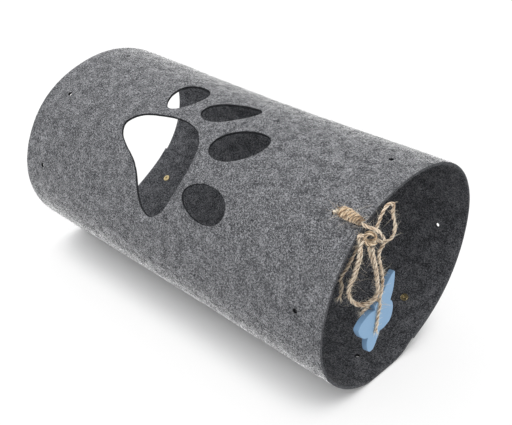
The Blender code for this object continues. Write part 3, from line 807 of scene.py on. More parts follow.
@dataclass(frozen=True)
class FeltFinish:
    """Pressed grey wool felt: dark and pale fibres matted together."""

    name: str
    dark: Colour = (0.034, 0.035, 0.039)
    middle: Colour = (0.099, 0.101, 0.108)
    pale: Colour = (0.320, 0.323, 0.340)
    fibre: Colour = (0.420, 0.425, 0.440)
    stops: tuple[float, ...] = (0.425, 0.50, 0.585)
    fibre_share: float = 0.40
    across_scale: float = 850.0
    along_scale: float = 280.0
    cloud_scale: float = 75.0
    relief: Span = (0.00035, 0.9)
    roughness: Span = (0.12, 0.86)
    sheen: float = 1.00
    sheen_roughness: float = 0.30
    sheen_contrast: float = 2.40

    def material(self) -> bpy.types.Material:
        """Builds the felt's material.

        Returns:
            The new material.
        """
        bench = SurfaceBench(self.name)
        sockets = {"Place": bench.lay(), "Across": self.across_scale, "Along": self.along_scale}
        sockets["Cloud Scale"] = self.cloud_scale
        fibres = bench.group(EFFECTS.matted_fibres, sockets).outputs
        mask = fibres["Mask"]
        stops = tuple(zip(self.stops, (self.dark, self.middle, self.pale)))
        share = bench.maths("MULTIPLY", fibres["Light Fibres"], self.fibre_share)
        colour = bench.blended(share, bench.colours(mask, stops), (*self.fibre, 1))
        normal = bench.relief(fibres["Height"], *self.relief)
        lit = bench.mapped(mask, self.stops[0], self.stops[-1])
        rest = {
            "Sheen Tint": bench.maths("MULTIPLY", lit, self.sheen_contrast),
            "Sheen Weight": self.sheen,
            "Sheen Roughness": self.sheen_roughness,
            "Specular IOR Level": 0.0,
        }
        return bench.finished(colour, bench.scaled(mask, *self.roughness), normal, rest)


@dataclass(frozen=True)
class TwineFinish:
    """Natural jute: tan bast fibres that follow the lay of the plies, with painted shade in the
    grooves between the plies.
    """

    name: str
    deep: Colour = (0.330, 0.220, 0.135)
    body: Colour = (0.750, 0.595, 0.445)
    pale: Colour = (0.980, 0.920, 0.770)
    stops: tuple[float, ...] = (0.40, 0.49, 0.59)
    # Painted shade: the colour, reach and share of the darkening in the grooves between the
    # plies.
    groove_shade_colour: Colour = (0.120, 0.070, 0.038)
    groove_shade_reach: Span = (0.00098, 0.00140)
    groove_shade_share: float = 0.85
    stain_share: float = 0.30
    across_scale: float = 1700.0
    along_scale: float = 130.0
    smudge_scale: float = 160.0
    pit_scale: float = 900.0
    relief: Span = (0.00022, 1.0)
    roughness: Span = (0.2, 0.7)
    sheen: float = 0.25
    sheen_roughness: float = 0.40
    shine: float = 0.25

    def material(self) -> bpy.types.Material:
        """Builds the twine's material.

        Returns:
            The new material.
        """
        bench = SurfaceBench(self.name)
        place = bench.lay()
        scales = {"Across Scale": self.across_scale, "Along Scale": self.along_scale}
        streaks = bench.group(EFFECTS.drawn_streaks, {"Place": place, **scales}).outputs
        stops = tuple(zip(self.stops, (self.deep, self.body, self.pale)))
        colour = bench.colours(streaks["Mask"], stops)
        smudges = bench.marks(self.smudge_scale, self.pit_scale)["Smudges"]
        stain = bench.maths("MULTIPLY", smudges, self.stain_share)
        colour = bench.blended(stain, colour, (*self.body, 1))
        # Painted shade: the colour darkens where the lay place lies near the twine's middle, in
        # the grooves between the plies.
        flat = bench.vectors("MULTIPLY", place, (1, 1, 0))
        reach = bench.put("VectorMath", {0: flat}, operation="LENGTH").outputs["Value"]
        groove_shade_mask = bench.maths("SUBTRACT", 1.0, bench.mapped(reach, *self.groove_shade_reach))
        groove_shade = bench.maths("MULTIPLY", groove_shade_mask, self.groove_shade_share)
        colour = bench.blended(groove_shade, colour, (*self.groove_shade_colour, 1))
        rough = bench.scaled(streaks["Mask"], *self.roughness)
        normal = bench.relief(streaks["Height"], *self.relief)
        rest = {
            "Sheen Weight": self.sheen,
            "Sheen Roughness": self.sheen_roughness,
            "Specular IOR Level": self.shine,
        }
        return bench.finished(colour, rough, normal, rest)


@dataclass(frozen=True)
class FoamFinish:
    """Closed-cell foam in a light blue, with fine cells and faint handling marks."""

    name: str
    colour: Colour
    worn: Colour
    worn_share: float = 0.35
    smudge_scale: float = 110.0
    pit_scale: float = 1500.0
    roughness: Span = (0.15, 0.55)
    relief: Span = (0.00012, 0.5)
    shine: float = 0.40

    def material(self) -> bpy.types.Material:
        """Builds the foam's material.

        Returns:
            The new material.
        """
        bench = SurfaceBench(self.name)
        marks = bench.marks(self.smudge_scale, self.pit_scale)
        share = bench.maths("MULTIPLY", marks["Smudges"], self.worn_share)
        colour = bench.blended(share, (*self.colour, 1), (*self.worn, 1))
        rough = bench.scaled(marks["Smudges"], *self.roughness)
        normal = bench.relief(marks["Height"], *self.relief)
        return bench.finished(colour, rough, normal, {"Specular IOR Level": self.shine})


@dataclass(frozen=True)
class BrassFinish:
    """Pressed yellow brass, lightly tarnished in patches."""

    name: str
    bright: Colour = (0.600, 0.490, 0.275)
    tarnish: Colour = (0.320, 0.255, 0.130)
    tarnish_share: float = 0.6
    smudge_scale: float = 420.0
    pit_scale: float = 2600.0
    roughness: Span = (0.22, 0.24)
    relief: Span = (0.00006, 0.4)

    def material(self) -> bpy.types.Material:
        """Builds the brass material.

        Returns:
            The new material.
        """
        bench = SurfaceBench(self.name)
        marks = bench.marks(self.smudge_scale, self.pit_scale)
        share = bench.maths("MULTIPLY", marks["Smudges"], self.tarnish_share)
        colour = bench.blended(share, (*self.bright, 1), (*self.tarnish, 1))
        rough = bench.scaled(marks["Smudges"], *self.roughness)
        normal = bench.relief(marks["Height"], *self.relief)
        return bench.finished(colour, rough, normal, {"Metallic": 1.0})


Finish = FeltFinish | TwineFinish | FoamFinish | BrassFinish


@functools.cache
def material_of(finish: Finish) -> bpy.types.Material:
    """Gives a finish's material, which is built the first time."""
    return finish.material()


FELT = FeltFinish("grey_felt")
FELT_CUT = FeltFinish(
    "grey_felt_cut",
    dark=(0.027, 0.028, 0.031),
    middle=(0.074, 0.076, 0.082),
    pale=(0.165, 0.168, 0.178),
    fibre=(0.205, 0.209, 0.220),
    across_scale=1300.0,
    along_scale=500.0,
    cloud_scale=140.0,
    sheen=0.10,
)
# Painted shade: near-black walls for the paw print's cut-outs, standing in for the shade that
# falls on them.
PAW_WALL_SHADE = FeltFinish(
    "painted_shade_paw_walls",
    dark=(0.010, 0.010, 0.012),
    middle=(0.026, 0.027, 0.030),
    pale=(0.064, 0.066, 0.071),
    fibre=(0.090, 0.092, 0.098),
    across_scale=1300.0,
    along_scale=500.0,
    sheen=0.0,
)
# The inner face: smoother pressed felt with little sheen, and darker than the outer face as
# painted shade for the inside of the tube.
FELT_INSIDE_AND_SHADE = FeltFinish(
    "grey_felt_inside_shaded",
    dark=(0.022, 0.023, 0.026),
    middle=(0.070, 0.072, 0.080),
    pale=(0.228, 0.231, 0.247),
    fibre=(0.322, 0.327, 0.342),
    sheen=0.10,
)
# Painted shade: near-black walls for the punched lacing and stud holes, so that the holes look
# dark.
HOLE_WALL_SHADE = FeltFinish(
    "painted_shade_hole_walls",
    dark=(0.006, 0.006, 0.007),
    middle=(0.014, 0.014, 0.016),
    pale=(0.040, 0.041, 0.044),
    fibre=(0.060, 0.061, 0.065),
    across_scale=1300.0,
    along_scale=500.0,
    sheen=0.0,
)
# Painted sheen: the loose fibres are coloured paler than the felt, which paints a lighter rim
# where they gather at the silhouettes.
FELT_FUZZ_SHEEN = FeltFinish(
    "grey_felt_fuzz_painted_sheen",
    dark=(0.140, 0.142, 0.150),
    middle=(0.280, 0.283, 0.297),
    pale=(0.480, 0.485, 0.500),
    sheen=0.50,
)
JUTE = TwineFinish("jute_twine")
# Painted shade: a darker, warmer copy of the jute for the tight turns of the winding and the
# knot, standing in for the warm shade between those turns.
SHADED_WARM_JUTE = TwineFinish(
    "jute_twine_warm_shade",
    deep=(0.330, 0.200, 0.105),
    body=(0.700, 0.520, 0.345),
    pale=(0.950, 0.840, 0.640),
)
PALE_HAIR = TwineFinish(
    "pale_jute_hair",
    deep=(0.560, 0.450, 0.320),
    body=(0.840, 0.740, 0.590),
    pale=(0.980, 0.940, 0.820),
    groove_shade_share=0.0,
)
BLUE_FOAM = FoamFinish("blue_foam", (0.230, 0.395, 0.595), (0.270, 0.440, 0.635))
# Painted shade: a darker copy of the foam for the butterfly's edge walls.
FOAM_WALL_SHADE = FoamFinish("blue_foam_walls_shaded", (0.150, 0.270, 0.430), (0.190, 0.320, 0.490))
BRASS = BrassFinish("pressed_brass")


# The roll


@dataclass(frozen=True)
class EndSection:
    """The outline of one mouth: shares and tilts of the lobes on a circle."""

    mean_radius: float
    shares: tuple[float, ...]
    tilts: tuple[float, ...]
    points: int = 2881

    @functools.cached_property
    def outline(self) -> tuple[np.ndarray, np.ndarray, np.ndarray]:
        """Points, outward normals and arcs of the outer face, both ways round from the top.

        Returns:
            The points, their outward normals and their arcs.
        """
        angle = np.linspace(QUARTER_TURN - FULL_TURN, QUARTER_TURN + FULL_TURN, self.points)
        total = np.ones_like(angle)
        for order, (share, tilt) in enumerate(zip(self.shares, self.tilts), start=2):
            total = total + share * np.cos(order * (angle - math.radians(tilt)))
        radius = self.mean_radius * total
        points = np.stack([radius * np.cos(angle), radius * np.sin(angle)], axis=1)
        along = units(np.gradient(points, axis=0))
        outward = np.stack([along[:, 1], -along[:, 0]], axis=1)
        arcs = travelled(points)
        return points, outward, arcs - np.interp(QUARTER_TURN, angle, arcs)

    @property
    def girth(self) -> float:
        """Length once round the outer face."""
        arcs = self.outline[2]
        return float(arcs[-1] - arcs[0]) / 2


@dataclass(frozen=True)
class TunnelRoll:
    """The shape that the flat felt sheet takes when it is rolled and set down."""

    length: float = 0.500
    felt_thickness: float = 0.003
    layer_gap: float = 0.0003
    overlap: float = 0.084
    seam_turn_share: float = -0.4418
    stud_edge_inset: float = 0.0394
    step_run: float = 0.018
    step_lead: float = 0.005
    skew: float = 0.005
    waist_depth: float = 0.0035
    rest_sink: float = 0.0026
    rest_sag: float = 0.0075
    rest_sag_angle: float = math.radians(-72)
    rest_sag_spread: float = math.radians(20)
    floor_blend: float = 0.0012
    lap_samples: int = 400
    near: EndSection = EndSection(
        0.1283, (0.0524, 0.0096, 0.0064, 0.0052, 0.0048), (26.8, 17.7, 41.8, -23.6, 20)
    )
    far: EndSection = EndSection(
        0.1283, (0.0667, 0.0234, 0.0115, 0.0052, 0.0048), (21.1, 15.4, -1.2, -23.6, 20)
    )

    @property
    def outer_edge_arc(self) -> float:
        """Arc of the sheet's outer edge."""
        return self.near.girth * self.seam_turn_share

    @property
    def cover_arc(self) -> float:
        """Arc where the sheet starts to pass under its own outer edge."""
        return self.outer_edge_arc + self.near.girth

    @property
    def sheet_width(self) -> float:
        """Width of the flat sheet, round the roll."""
        return self.near.girth + self.overlap

    @property
    def stud_arc(self) -> float:
        """Arc of the press studs."""
        return self.outer_edge_arc + self.stud_edge_inset

    def path(self, section: EndSection) -> tuple[np.ndarray, np.ndarray]:
        """Arc and point tables of the outer face, stepping inside its own outer edge.

        Args:
            section: The mouth's outline.

        Returns:
            The arcs along the sheet, and the point at each of them.
        """
        points, outward, arcs = section.outline
        begin = self.cover_arc - self.step_lead - self.step_run
        part = np.clip((arcs - begin) / self.step_run, 0, 1)
        inset = (self.felt_thickness + self.layer_gap) * part**2 * (3 - 2 * part)
        path = points - outward * inset[:, None]
        along = travelled(path)
        return along - np.interp(0, arcs, along), path

    @functools.cached_property
    def paths(self) -> list[tuple[np.ndarray, np.ndarray]]:
        """Tables of both mouths, the one with the butterfly first."""
        return [self.path(section) for section in (self.near, self.far)]

    @functools.cached_property
    def axis_height(self) -> float:
        """Height of the roll's axis over the floor."""
        return -float(max(path[:, 1].min() for _, path in self.paths)) - self.rest_sink

    def face_point(self, x: np.ndarray, arc: np.ndarray) -> np.ndarray:
        """Gives the outer face before it rests on the floor, as y and height from the axis.

        Args:
            x: Places along the tube.
            arc: Places round the roll.

        Returns:
            The points, with y and height in the last axis.
        """
        nearness = (x + self.length / 2) / self.length
        turned = arc - self.skew * (1 - nearness)
        ends = []
        for arcs, path in self.paths:
            ends.append(np.stack([np.interp(turned, arcs, line) for line in path.T], axis=-1))
        blended = ends[1] + (ends[0] - ends[1]) * nearness[..., None]
        radius = np.linalg.norm(blended, axis=-1)
        middle = (4 * nearness * (1 - nearness)) ** 2
        upper = (1 + blended[..., 1] / radius) / 2
        bearing = np.arctan2(blended[..., 1], blended[..., 0])
        spread = (bearing - self.rest_sag_angle) / self.rest_sag_spread
        sag = self.rest_sag * np.exp(-(spread**2))
        outward = middle * (sag - self.waist_depth * upper)
        return blended * (1 + outward / radius)[..., None]

    def face_normal(self, x: np.ndarray, arc: np.ndarray) -> np.ndarray:
        """Gives outward normals of the outer face, in y and z.

        Args:
            x: Places along the tube.
            arc: Places round the roll.

        Returns:
            The normals, with y and z in the last axis.
        """
        step = self.felt_thickness
        along = units(self.face_point(x, arc + step) - self.face_point(x, arc - step))
        return np.stack([along[..., 1], -along[..., 0]], axis=-1)

    def rolled(self, x: np.ndarray, arc: np.ndarray, depth: np.ndarray) -> np.ndarray:
        """Rolls sheet places up.

        Args:
            x: Places along the tube.
            arc: Places round the roll.
            depth: Depths inwards from the outer face.

        Returns:
            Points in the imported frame, flattened where the roll rests on the floor.
        """
        face = self.face_point(x, arc) - self.face_normal(x, arc) * depth[..., None]
        clear = face[..., 1] + self.axis_height - depth
        blend = self.floor_blend
        eased = (clear + blend) ** 2 / (4 * blend)
        settled = np.where(clear > blend, clear, np.where(clear < -blend, 0, eased))
        return np.stack([x, face[..., 0], settled + depth], axis=-1)

    def frame_at(self, x: float, arc: float) -> Matrix:
        """Gives a matrix whose axes run along X, back along the arc and outwards.

        Args:
            x: A place along the tube.
            arc: A place round the roll.

        Returns:
            The matrix, with its origin on the outer face.
        """
        here, round_it = np.array(x), np.array(arc)
        spot = self.rolled(here, round_it, np.array(0.0))
        normal = self.face_normal(here, round_it)
        out = Vector((0, normal[0], normal[1]))
        across = Vector((0, normal[1], -normal[0]))
        turn = Matrix((Vector((1, 0, 0)), across, out)).transposed().to_4x4()
        return Matrix.Translation(Vector(spot)) @ turn

    def arc_under(self, x: float, arc: float) -> float:
        """Gives the inner layer's arc straight under a place on the outer layer.

        Args:
            x: A place along the tube.
            arc: Its arc on the outer layer.

        Returns:
            The arc on the inner layer.
        """
        target = math.atan2(*self.face_point(np.array(x), np.array(arc)))
        inner_edge = self.outer_edge_arc + self.sheet_width
        arcs = np.linspace(self.cover_arc, inner_edge, self.lap_samples)
        points = self.face_point(np.full_like(arcs, x), arcs)
        bearings = np.unwrap(np.arctan2(points[:, 0], points[:, 1]))
        turns = round(float(bearings.mean() - target) / FULL_TURN)
        return float(np.interp(-(target + turns * FULL_TURN), -bearings, arcs))


@dataclass(frozen=True)
class PawPrint:
    """The paw print's pad and four toes, as outlines on the flat sheet."""

    pad_centre: Span = (-0.0316, 0.1075)
    pad_direction_shares: Span = (0.695, -0.719)
    pad_half_outline: Outline = (
        (0.057, 0), (0.056, 0.010), (0.0525, 0.019), (0.0475, 0.028), (0.042, 0.0355),
        (0.035, 0.042), (0.028, 0.048), (0.0195, 0.0535), (0.0105, 0.0585), (0, 0.064),
        (-0.012, 0.068), (-0.025, 0.068), (-0.0365, 0.063), (-0.041, 0.049), (-0.0385, 0.032),
        (-0.035, 0.020), (-0.033, 0.012), (-0.032, 0.0055), (-0.032, 0),
    )
    toe_centres: Outline = (
        (-0.064, 0.015), (0.007, 0.0105), (0.0595, 0.0531), (0.0634, 0.1328),
    )
    toe_lengths: tuple[float, ...] = (0.0301, 0.0364, 0.036, 0.0329)
    toe_widths: tuple[float, ...] = (0.0213, 0.0197, 0.0237, 0.0211)
    toe_angles: tuple[float, ...] = (273, 321, 141, 1)
    toe_egg_shares: tuple[float, ...] = (0.23, -0.24, 0.025, 0.10)
    outline_spacing: float = 0.0016
    pad_samples: int = 200
    girth_share: float = 0.8

    def outlines(self) -> list[np.ndarray]:
        """Gives the five closed outlines."""
        return [self.pad()] + [self.toe(index) for index in range(len(self.toe_centres))]

    def pad(self) -> np.ndarray:
        """Gives the pad's outline.

        Returns:
            The outline's points, one row each.
        """
        rough = smooth_line(self.pad_half_outline, self.pad_samples)
        line = spaced(rough, round(travelled(rough)[-1] / self.outline_spacing))
        half = np.vstack([line, line[-2:0:-1] * np.array([1, -1])])
        (ux, ua), (cx, ca) = self.pad_direction_shares, self.pad_centre
        u, v = half.T
        return np.stack([cx + u * ux - v * ua, ca + u * ua + v * ux], axis=1)

    def toe(self, index: int) -> np.ndarray:
        """Gives one toe's egg-shaped outline.

        Args:
            index: The toe's number, from 0.

        Returns:
            The outline's points, one row each.
        """
        length, width = self.toe_lengths[index], self.toe_widths[index]
        count = round(4 * (length + width) * self.girth_share / self.outline_spacing)
        angle = FULL_TURN * np.arange(count) / count
        turn = math.radians(self.toe_angles[index])
        along = length * np.cos(angle)
        across = width * (1 + self.toe_egg_shares[index] * np.cos(angle)) * np.sin(angle)
        middle_x, middle_arc = self.toe_centres[index]
        x = middle_x + along * math.cos(turn) - across * math.sin(turn)
        arc = middle_arc + along * math.sin(turn) + across * math.cos(turn)
        return np.stack([x, arc], axis=1)


@dataclass(frozen=True)
class FeltSheet:
    """The die-cut felt sheet, rolled into the tube."""

    roll: TunnelRoll
    paw: PawPrint = PawPrint()
    ring_inset: float = 0.0353
    ring_count: int = 8
    stud_inset: float = 0.0367
    hole_radius: float = 0.0025
    hole_sides: int = 28
    twine_hole_index: int = 4
    twine_hole_shift: float = -0.0065
    shaft_hole_radius: float = 0.002
    pocket_radius: float = 0.0064
    pocket_slope: float = 0.0003
    pocket_depth: float = 0.0015
    corner_radius: float = 0.0015
    edge_round: float = 0.00030
    corner_steps: int = 3
    edge_spacing: float = 0.003
    grid_step: float = 0.0045
    wave_height: float = 0.00045
    wave_length: float = 0.048
    wave_seed: float = 3.1
    lump_height: float = 0.00010
    lump_length: float = 0.007
    lump_seed: float = 7.7
    cut_fray: float = 0.00012
    cut_fray_stretch: float = 3.0
    cut_fray_seed: float = 5.3
    calm_height: float = 0.015
    fuzz_fibre: LooseFibre = LooseFibre(radius=0.00008, steps=1)
    fuzz_count: int = 16000
    fuzz_length: float = 0.0021
    fuzz_length_shares: Span = (0.4, 1.3)
    fuzz_rise: Span = (0.2, 0.9)
    fuzz_bend: float = 0.3
    fuzz_seed: int = 41

    @property
    def stud_x(self) -> float:
        """Distance of the press studs from mid-length."""
        return self.roll.length / 2 - self.stud_inset

    @property
    def ring_x(self) -> float:
        """Distance of the lacing holes from mid-length."""
        return self.roll.length / 2 - self.ring_inset

    @property
    def twine_hole_arc(self) -> float:
        """Arc of the lacing hole that the twine goes through."""
        pitch = self.roll.near.girth / self.ring_count
        return self.roll.stud_arc + self.twine_hole_index * pitch + self.twine_hole_shift

    def sheet_outline(self) -> np.ndarray:
        """Gives the flat sheet's own outline, with its corners slightly rounded.

        Returns:
            The outline's points, one row each.
        """
        half = self.roll.length / 2 - self.corner_radius
        low = self.roll.outer_edge_arc + self.corner_radius
        high = self.roll.outer_edge_arc + self.roll.sheet_width - self.corner_radius
        rows = []
        corners = ((half, high), (-half, high), (-half, low), (half, low))
        for index, (x, arc) in enumerate(corners):
            for step in range(self.corner_steps + 1):
                angle = QUARTER_TURN * (index + step / self.corner_steps)
                aside = self.corner_radius * math.cos(angle)
                rows.append((x + aside, arc + self.corner_radius * math.sin(angle)))
        outline = []
        for start, end in zip(rows, rows[1:] + rows[:1]):
            count = max(1, round(math.dist(start, end) / self.edge_spacing))
            share = np.arange(count)[:, None] / count
            outline.append(np.array(start) + (np.array(end) - np.array(start)) * share)
        return np.vstack(outline)

    def stud_places(self) -> list[Spot]:
        """Lists x, outer arc and inner arc of both studs."""
        arc = self.roll.stud_arc
        return [(x, arc, self.roll.arc_under(x, arc)) for x in (self.stud_x, -self.stud_x)]

    def plate(self) -> CutPlate:
        """Gives the flat sheet as a plate, with every hole cut out.

        Returns:
            The plate.
        """
        cutouts, creases = self.paw.outlines(), []
        sides, rim = self.hole_sides, self.pocket_radius
        pitch = self.roll.near.girth / self.ring_count
        for x in (self.ring_x, -self.ring_x):
            for index in range(1, self.ring_count):
                moved = x > 0 and index == self.twine_hole_index
                arc = self.roll.stud_arc + index * pitch + self.twine_hole_shift * moved
                cutouts.append(circle((x, arc), self.hole_radius, sides))
        for x, outer, inner in self.stud_places():
            for arc in (outer, inner):
                cutouts.append(circle((x, arc), self.shaft_hole_radius, sides))
                creases.append(circle((x, arc), rim, sides))
                creases.append(circle((x, arc), rim - self.pocket_slope, sides))
        cut = tuple(leftward(loop, solid_inside=False) for loop in cutouts)
        outline = leftward(self.sheet_outline(), solid_inside=True)
        thickness = self.roll.felt_thickness
        return CutPlate(outline, cut, tuple(creases), thickness, self.edge_round, self.grid_step)

    def hollowed(self, flat: np.ndarray, depth: np.ndarray) -> np.ndarray:
        """Moves the faces between the two layers back where a stud sits between them.

        Args:
            flat: Places on the flat sheet.
            depth: Their depths from the outer face.

        Returns:
            The new depths.
        """
        thickness = self.roll.felt_thickness
        for x, outer, inner in self.stud_places():
            for arc, facing in ((outer, thickness), (inner, 0.0)):
                away = np.linalg.norm(flat - np.array([x, arc]), axis=1)
                share = np.clip((self.pocket_radius - away) / self.pocket_slope, 0, 1)
                share = share * (np.abs(depth - facing) < self.edge_round)
                depth = depth + share * self.pocket_depth * (1 if facing == 0 else -1)
        return depth

    def place(self, flat: np.ndarray, depth: np.ndarray) -> np.ndarray:
        """Rolls flat points up and gives them the felt's own waves, lumps and rough cuts.

        Args:
            flat: Places on the flat sheet.
            depth: Their depths from the outer face.

        Returns:
            The points in space.
        """
        depth = self.hollowed(flat, depth)
        points = self.roll.rolled(flat[:, 0], flat[:, 1], depth)
        normals = self.roll.face_normal(flat[:, 0], flat[:, 1])
        outward = np.column_stack([np.zeros(len(flat)), normals])
        sheet = self.roll.rolled(flat[:, 0], flat[:, 1], np.zeros(len(flat)))
        waves = unevenness(sheet, self.wave_length, self.wave_seed) * self.wave_height
        lumps = unevenness(sheet, self.lump_length, self.lump_seed) * self.lump_height
        calm = np.clip(sheet[:, 2] / self.calm_height, 0, 1)
        moved = points + outward * ((waves + lumps) * calm**2)[:, None]
        wall = (depth > 0) & (depth < self.roll.felt_thickness)
        grain = self.cut_fray_stretch * self.cut_fray
        fray = unevenness(points, grain, self.cut_fray_seed) * self.cut_fray
        moved[:, 0] += fray * wall
        return moved

    def fuzz(self, plate: CutPlate) -> bpy.types.Object:
        """Makes the short wool fibres that stand off the outer face.

        Args:
            plate: The flat sheet with its cut-outs.

        Returns:
            The fibres, as one piece.
        """
        rng = np.random.default_rng(self.fuzz_seed)
        half = self.roll.length / 2 - self.fuzz_length
        low = self.roll.outer_edge_arc + self.fuzz_length
        spread = (self.fuzz_count, 2)
        flat = rng.uniform((-half, low), (half, low + self.roll.near.girth), spread)
        for loop in plate.cutouts:
            flat = flat[~inside(flat, loop)]
        spots = self.place(flat, np.zeros(len(flat)))
        normals = self.roll.face_normal(flat[:, 0], flat[:, 1])
        draft = MeshDraft()
        for spot, (out_y, out_z) in zip(spots, normals):
            if spot[2] < self.calm_height:
                continue
            turn = rng.uniform(0, FULL_TURN)
            out = np.array((0, out_y, out_z)) * rng.uniform(*self.fuzz_rise)
            level = np.array((math.cos(turn), math.sin(turn) * out_z, -math.sin(turn) * out_y))
            bend = rng.normal(0, self.fuzz_bend, 3)
            length = self.fuzz_length * rng.uniform(*self.fuzz_length_shares)
            self.fuzz_fibre.add(draft, spot, units(level + out), bend, length)
        # The fibres take the paler finish, which paints sheen at the silhouettes.
        piece = draft.piece("felt_fuzz", [material_of(FELT_FUZZ_SHEEN)])
        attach(piece, Body.TUNNEL.value)
        return piece

    def build(self) -> bpy.types.Object:
        """Makes the felt piece and fits it to the frame.

        Returns:
            The felt piece.
        """
        draft = MeshDraft()
        plate = self.plate()
        finishes = (FELT, FELT_CUT, FELT_INSIDE_AND_SHADE, PAW_WALL_SHADE, HOLE_WALL_SHADE)
        shapes = len(self.paw.outlines())
        # Painted shade: the paw print's walls get a near-black finish.
        walls = [FELT_CUT] + [PAW_WALL_SHADE] * shapes
        # Painted shade: the punched holes' walls get a near-black finish.
        walls += [HOLE_WALL_SHADE] * (len(plate.cutouts) - shapes)
        numbers = [finishes.index(wall) for wall in walls]
        # The inner face's finish is darker as painted shade for the inside of the tube.
        plate.fill(draft, self.place, numbers, back_finish=finishes.index(FELT_INSIDE_AND_SHADE))
        piece = draft.piece("felt_roll", [material_of(finish) for finish in finishes])
        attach(piece, Body.TUNNEL.value)
        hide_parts("felt_sheet")
        area = self.roll.sheet_width * self.roll.length
        for loop in plate.cutouts:
            area -= abs(signed_area(loop))
        flat = (self.roll.sheet_width, self.roll.length)
        fuzz = self.fuzz(plate)
        return piece


# Twine


@dataclass(frozen=True)
class TwineMake:
    """How the jute twine is laid up from its plies, and how hairy it is."""

    radius: float = 0.00170
    ply_offset_share: float = 0.33
    ply_radius_share: float = 0.67
    lay_length: float = 0.0140
    sides: int = 16
    ring_spacing: float = 0.0006
    unevenness_share: float = 0.18
    unevenness_length: float = 0.005
    unevenness_seed: float = 11.0
    end_slimming: float = 0.0
    slim_reach: float = 0.050
    root_share: float = 0.55
    hair: LooseFibre = LooseFibre(radius=0.00016, steps=5)
    hairs_per_metre: int = 1500
    hair_length: float = 0.0034
    hair_length_spread: Span = (-0.15, 0.6)
    longest_hair: float = 0.0100
    hair_rise: Span = (0.35, 1.0)
    hair_lean: float = 1.1
    hair_bend: float = 0.28
    wisp: LooseFibre = LooseFibre(radius=0.00013, steps=9)
    wisps_per_metre: int = 90
    wisp_length: float = 0.0130
    wisp_length_shares: Span = (0.5, 1.2)
    wisp_rise: float = 0.5
    wisp_lean: float = 1.2
    wisp_bend: float = 0.5
    fray_count: int = 40
    fray_length: float = 0.0065
    fray_length_shares: Span = (0.45, 1.1)
    fray_rise: Span = (0.05, 0.55)
    fray_root_shares: Span = (0.1, 0.8)
    fray_depth: float = 0.0015
    fray_bend: Span = (-0.1, 0.35)
    fray_waver: float = 0.08
    fray_seed_step: int = 500

    def rings(self, line: np.ndarray, seed: int) -> tuple[np.ndarray, np.ndarray]:
        """Gives the twine's surface round a line.

        Args:
            line: The centre line's points, one for each ring.
            seed: A number that sets this stretch's own unevenness.

        Returns:
            The rings' points in space, and their places in the straightened twine.
        """
        run = travelled(line)
        angle = FULL_TURN * np.arange(self.sides) / self.sides
        offset, ply = self.ply_offset_share, self.ply_radius_share
        lobes = offset * np.abs(np.cos(angle)) + np.sqrt(ply**2 - (offset * np.sin(angle)) ** 2)
        keys = np.column_stack([run, np.zeros(len(run)), np.zeros(len(run))])
        own_seed = self.unevenness_seed + seed
        swell = 1 + self.unevenness_share * unevenness(keys, self.unevenness_length, own_seed)
        from_end = np.clip(np.minimum(run, run[-1] - run) / self.slim_reach, 0, 1)
        swell = swell * (1 - self.end_slimming * (1 - from_end))
        twist = FULL_TURN * run / self.lay_length + seed
        radius = self.radius * lobes[None, :] * swell[:, None]
        spots = rings_round(line, radius, angle[None, :] + twist[:, None])
        lay_z = np.broadcast_to((run + seed)[:, None], radius.shape)
        lays = np.stack([radius * np.cos(angle), radius * np.sin(angle), lay_z], axis=-1)
        return spots, lays.reshape(-1, 3)

    def fill(self, draft: MeshDraft, line: np.ndarray, seed: int) -> None:
        """Adds the twine round a line to a draft, with closed ends.

        Args:
            draft: The draft that gets the twine.
            line: The centre line's points.
            seed: A number that sets this stretch's own unevenness.
        """
        points, lays = self.rings(line, seed)
        faces = band_faces(len(line), self.sides)
        count = len(points)
        points = np.vstack([points, line[:1], line[-1:]])
        lays = np.vstack([lays, [[0, 0, seed]], [[0, 0, seed + 1]]])
        last = count - self.sides
        for side in range(self.sides):
            after = (side + 1) % self.sides
            faces.append((count, after, side))
            faces.append((count + 1, last + side, last + after))
        draft.add(points, flipped(faces), lays)

    def fuzz(self, draft: MeshDraft, line: np.ndarray, seed: int) -> None:
        """Adds the loose fibres that stand off a stretch of twine.

        Args:
            draft: The draft that gets the fibres.
            line: The centre line's points.
            seed: The seed of the random draws.
        """
        rng = np.random.default_rng(seed)
        along, across, up = carried_frames(line)
        run = travelled(line)[-1]
        hairs = round(run * self.hairs_per_metre)
        for step in range(hairs + round(run * self.wisps_per_metre)):
            index = int(rng.integers(0, len(line)))
            angle = rng.uniform(0, FULL_TURN)
            out = across[index] * math.cos(angle) + up[index] * math.sin(angle)
            start = line[index] + out * self.radius * self.root_share
            if step < hairs:
                out = out * rng.uniform(*self.hair_rise)
                lean = out + along[index] * rng.uniform(-self.hair_lean, self.hair_lean)
                length = self.hair_length * rng.lognormal(*self.hair_length_spread)
                length = min(self.longest_hair, length)
                bend = rng.normal(0, self.hair_bend, 3)
                self.hair.add(draft, start, units(lean), bend, length)
            else:
                out = out * self.wisp_rise
                lean = out + along[index] * rng.uniform(-self.wisp_lean, self.wisp_lean)
                length = self.wisp_length * rng.uniform(*self.wisp_length_shares)
                bend = rng.normal(0, self.wisp_bend, 3)
                self.wisp.add(draft, start, units(lean), bend, length)

    def fray(self, draft: MeshDraft, line: np.ndarray, seed: int) -> None:
        """Adds the brush of fibres at a cut end, the line's last point.

        Args:
            draft: The draft that gets the fibres.
            line: The centre line's points, up to the cut end.
            seed: The seed of the random draws, before its own step.
        """
        rng = np.random.default_rng(seed + self.fray_seed_step)
        along, across, up = carried_frames(line)
        for _ in range(self.fray_count):
            angle = rng.uniform(0, FULL_TURN)
            out = across[-1] * math.cos(angle) + up[-1] * math.sin(angle)
            lean = units(along[-1] + out * rng.uniform(*self.fray_rise))
            start = line[-1] + out * self.radius * rng.uniform(*self.fray_root_shares)
            start = start - along[-1] * rng.uniform(0, self.fray_depth)
            bend = out * rng.uniform(*self.fray_bend) + rng.normal(0, self.fray_waver, 3)
            length = self.fray_length * rng.uniform(*self.fray_length_shares)
            self.hair.add(draft, start, lean, bend, length)


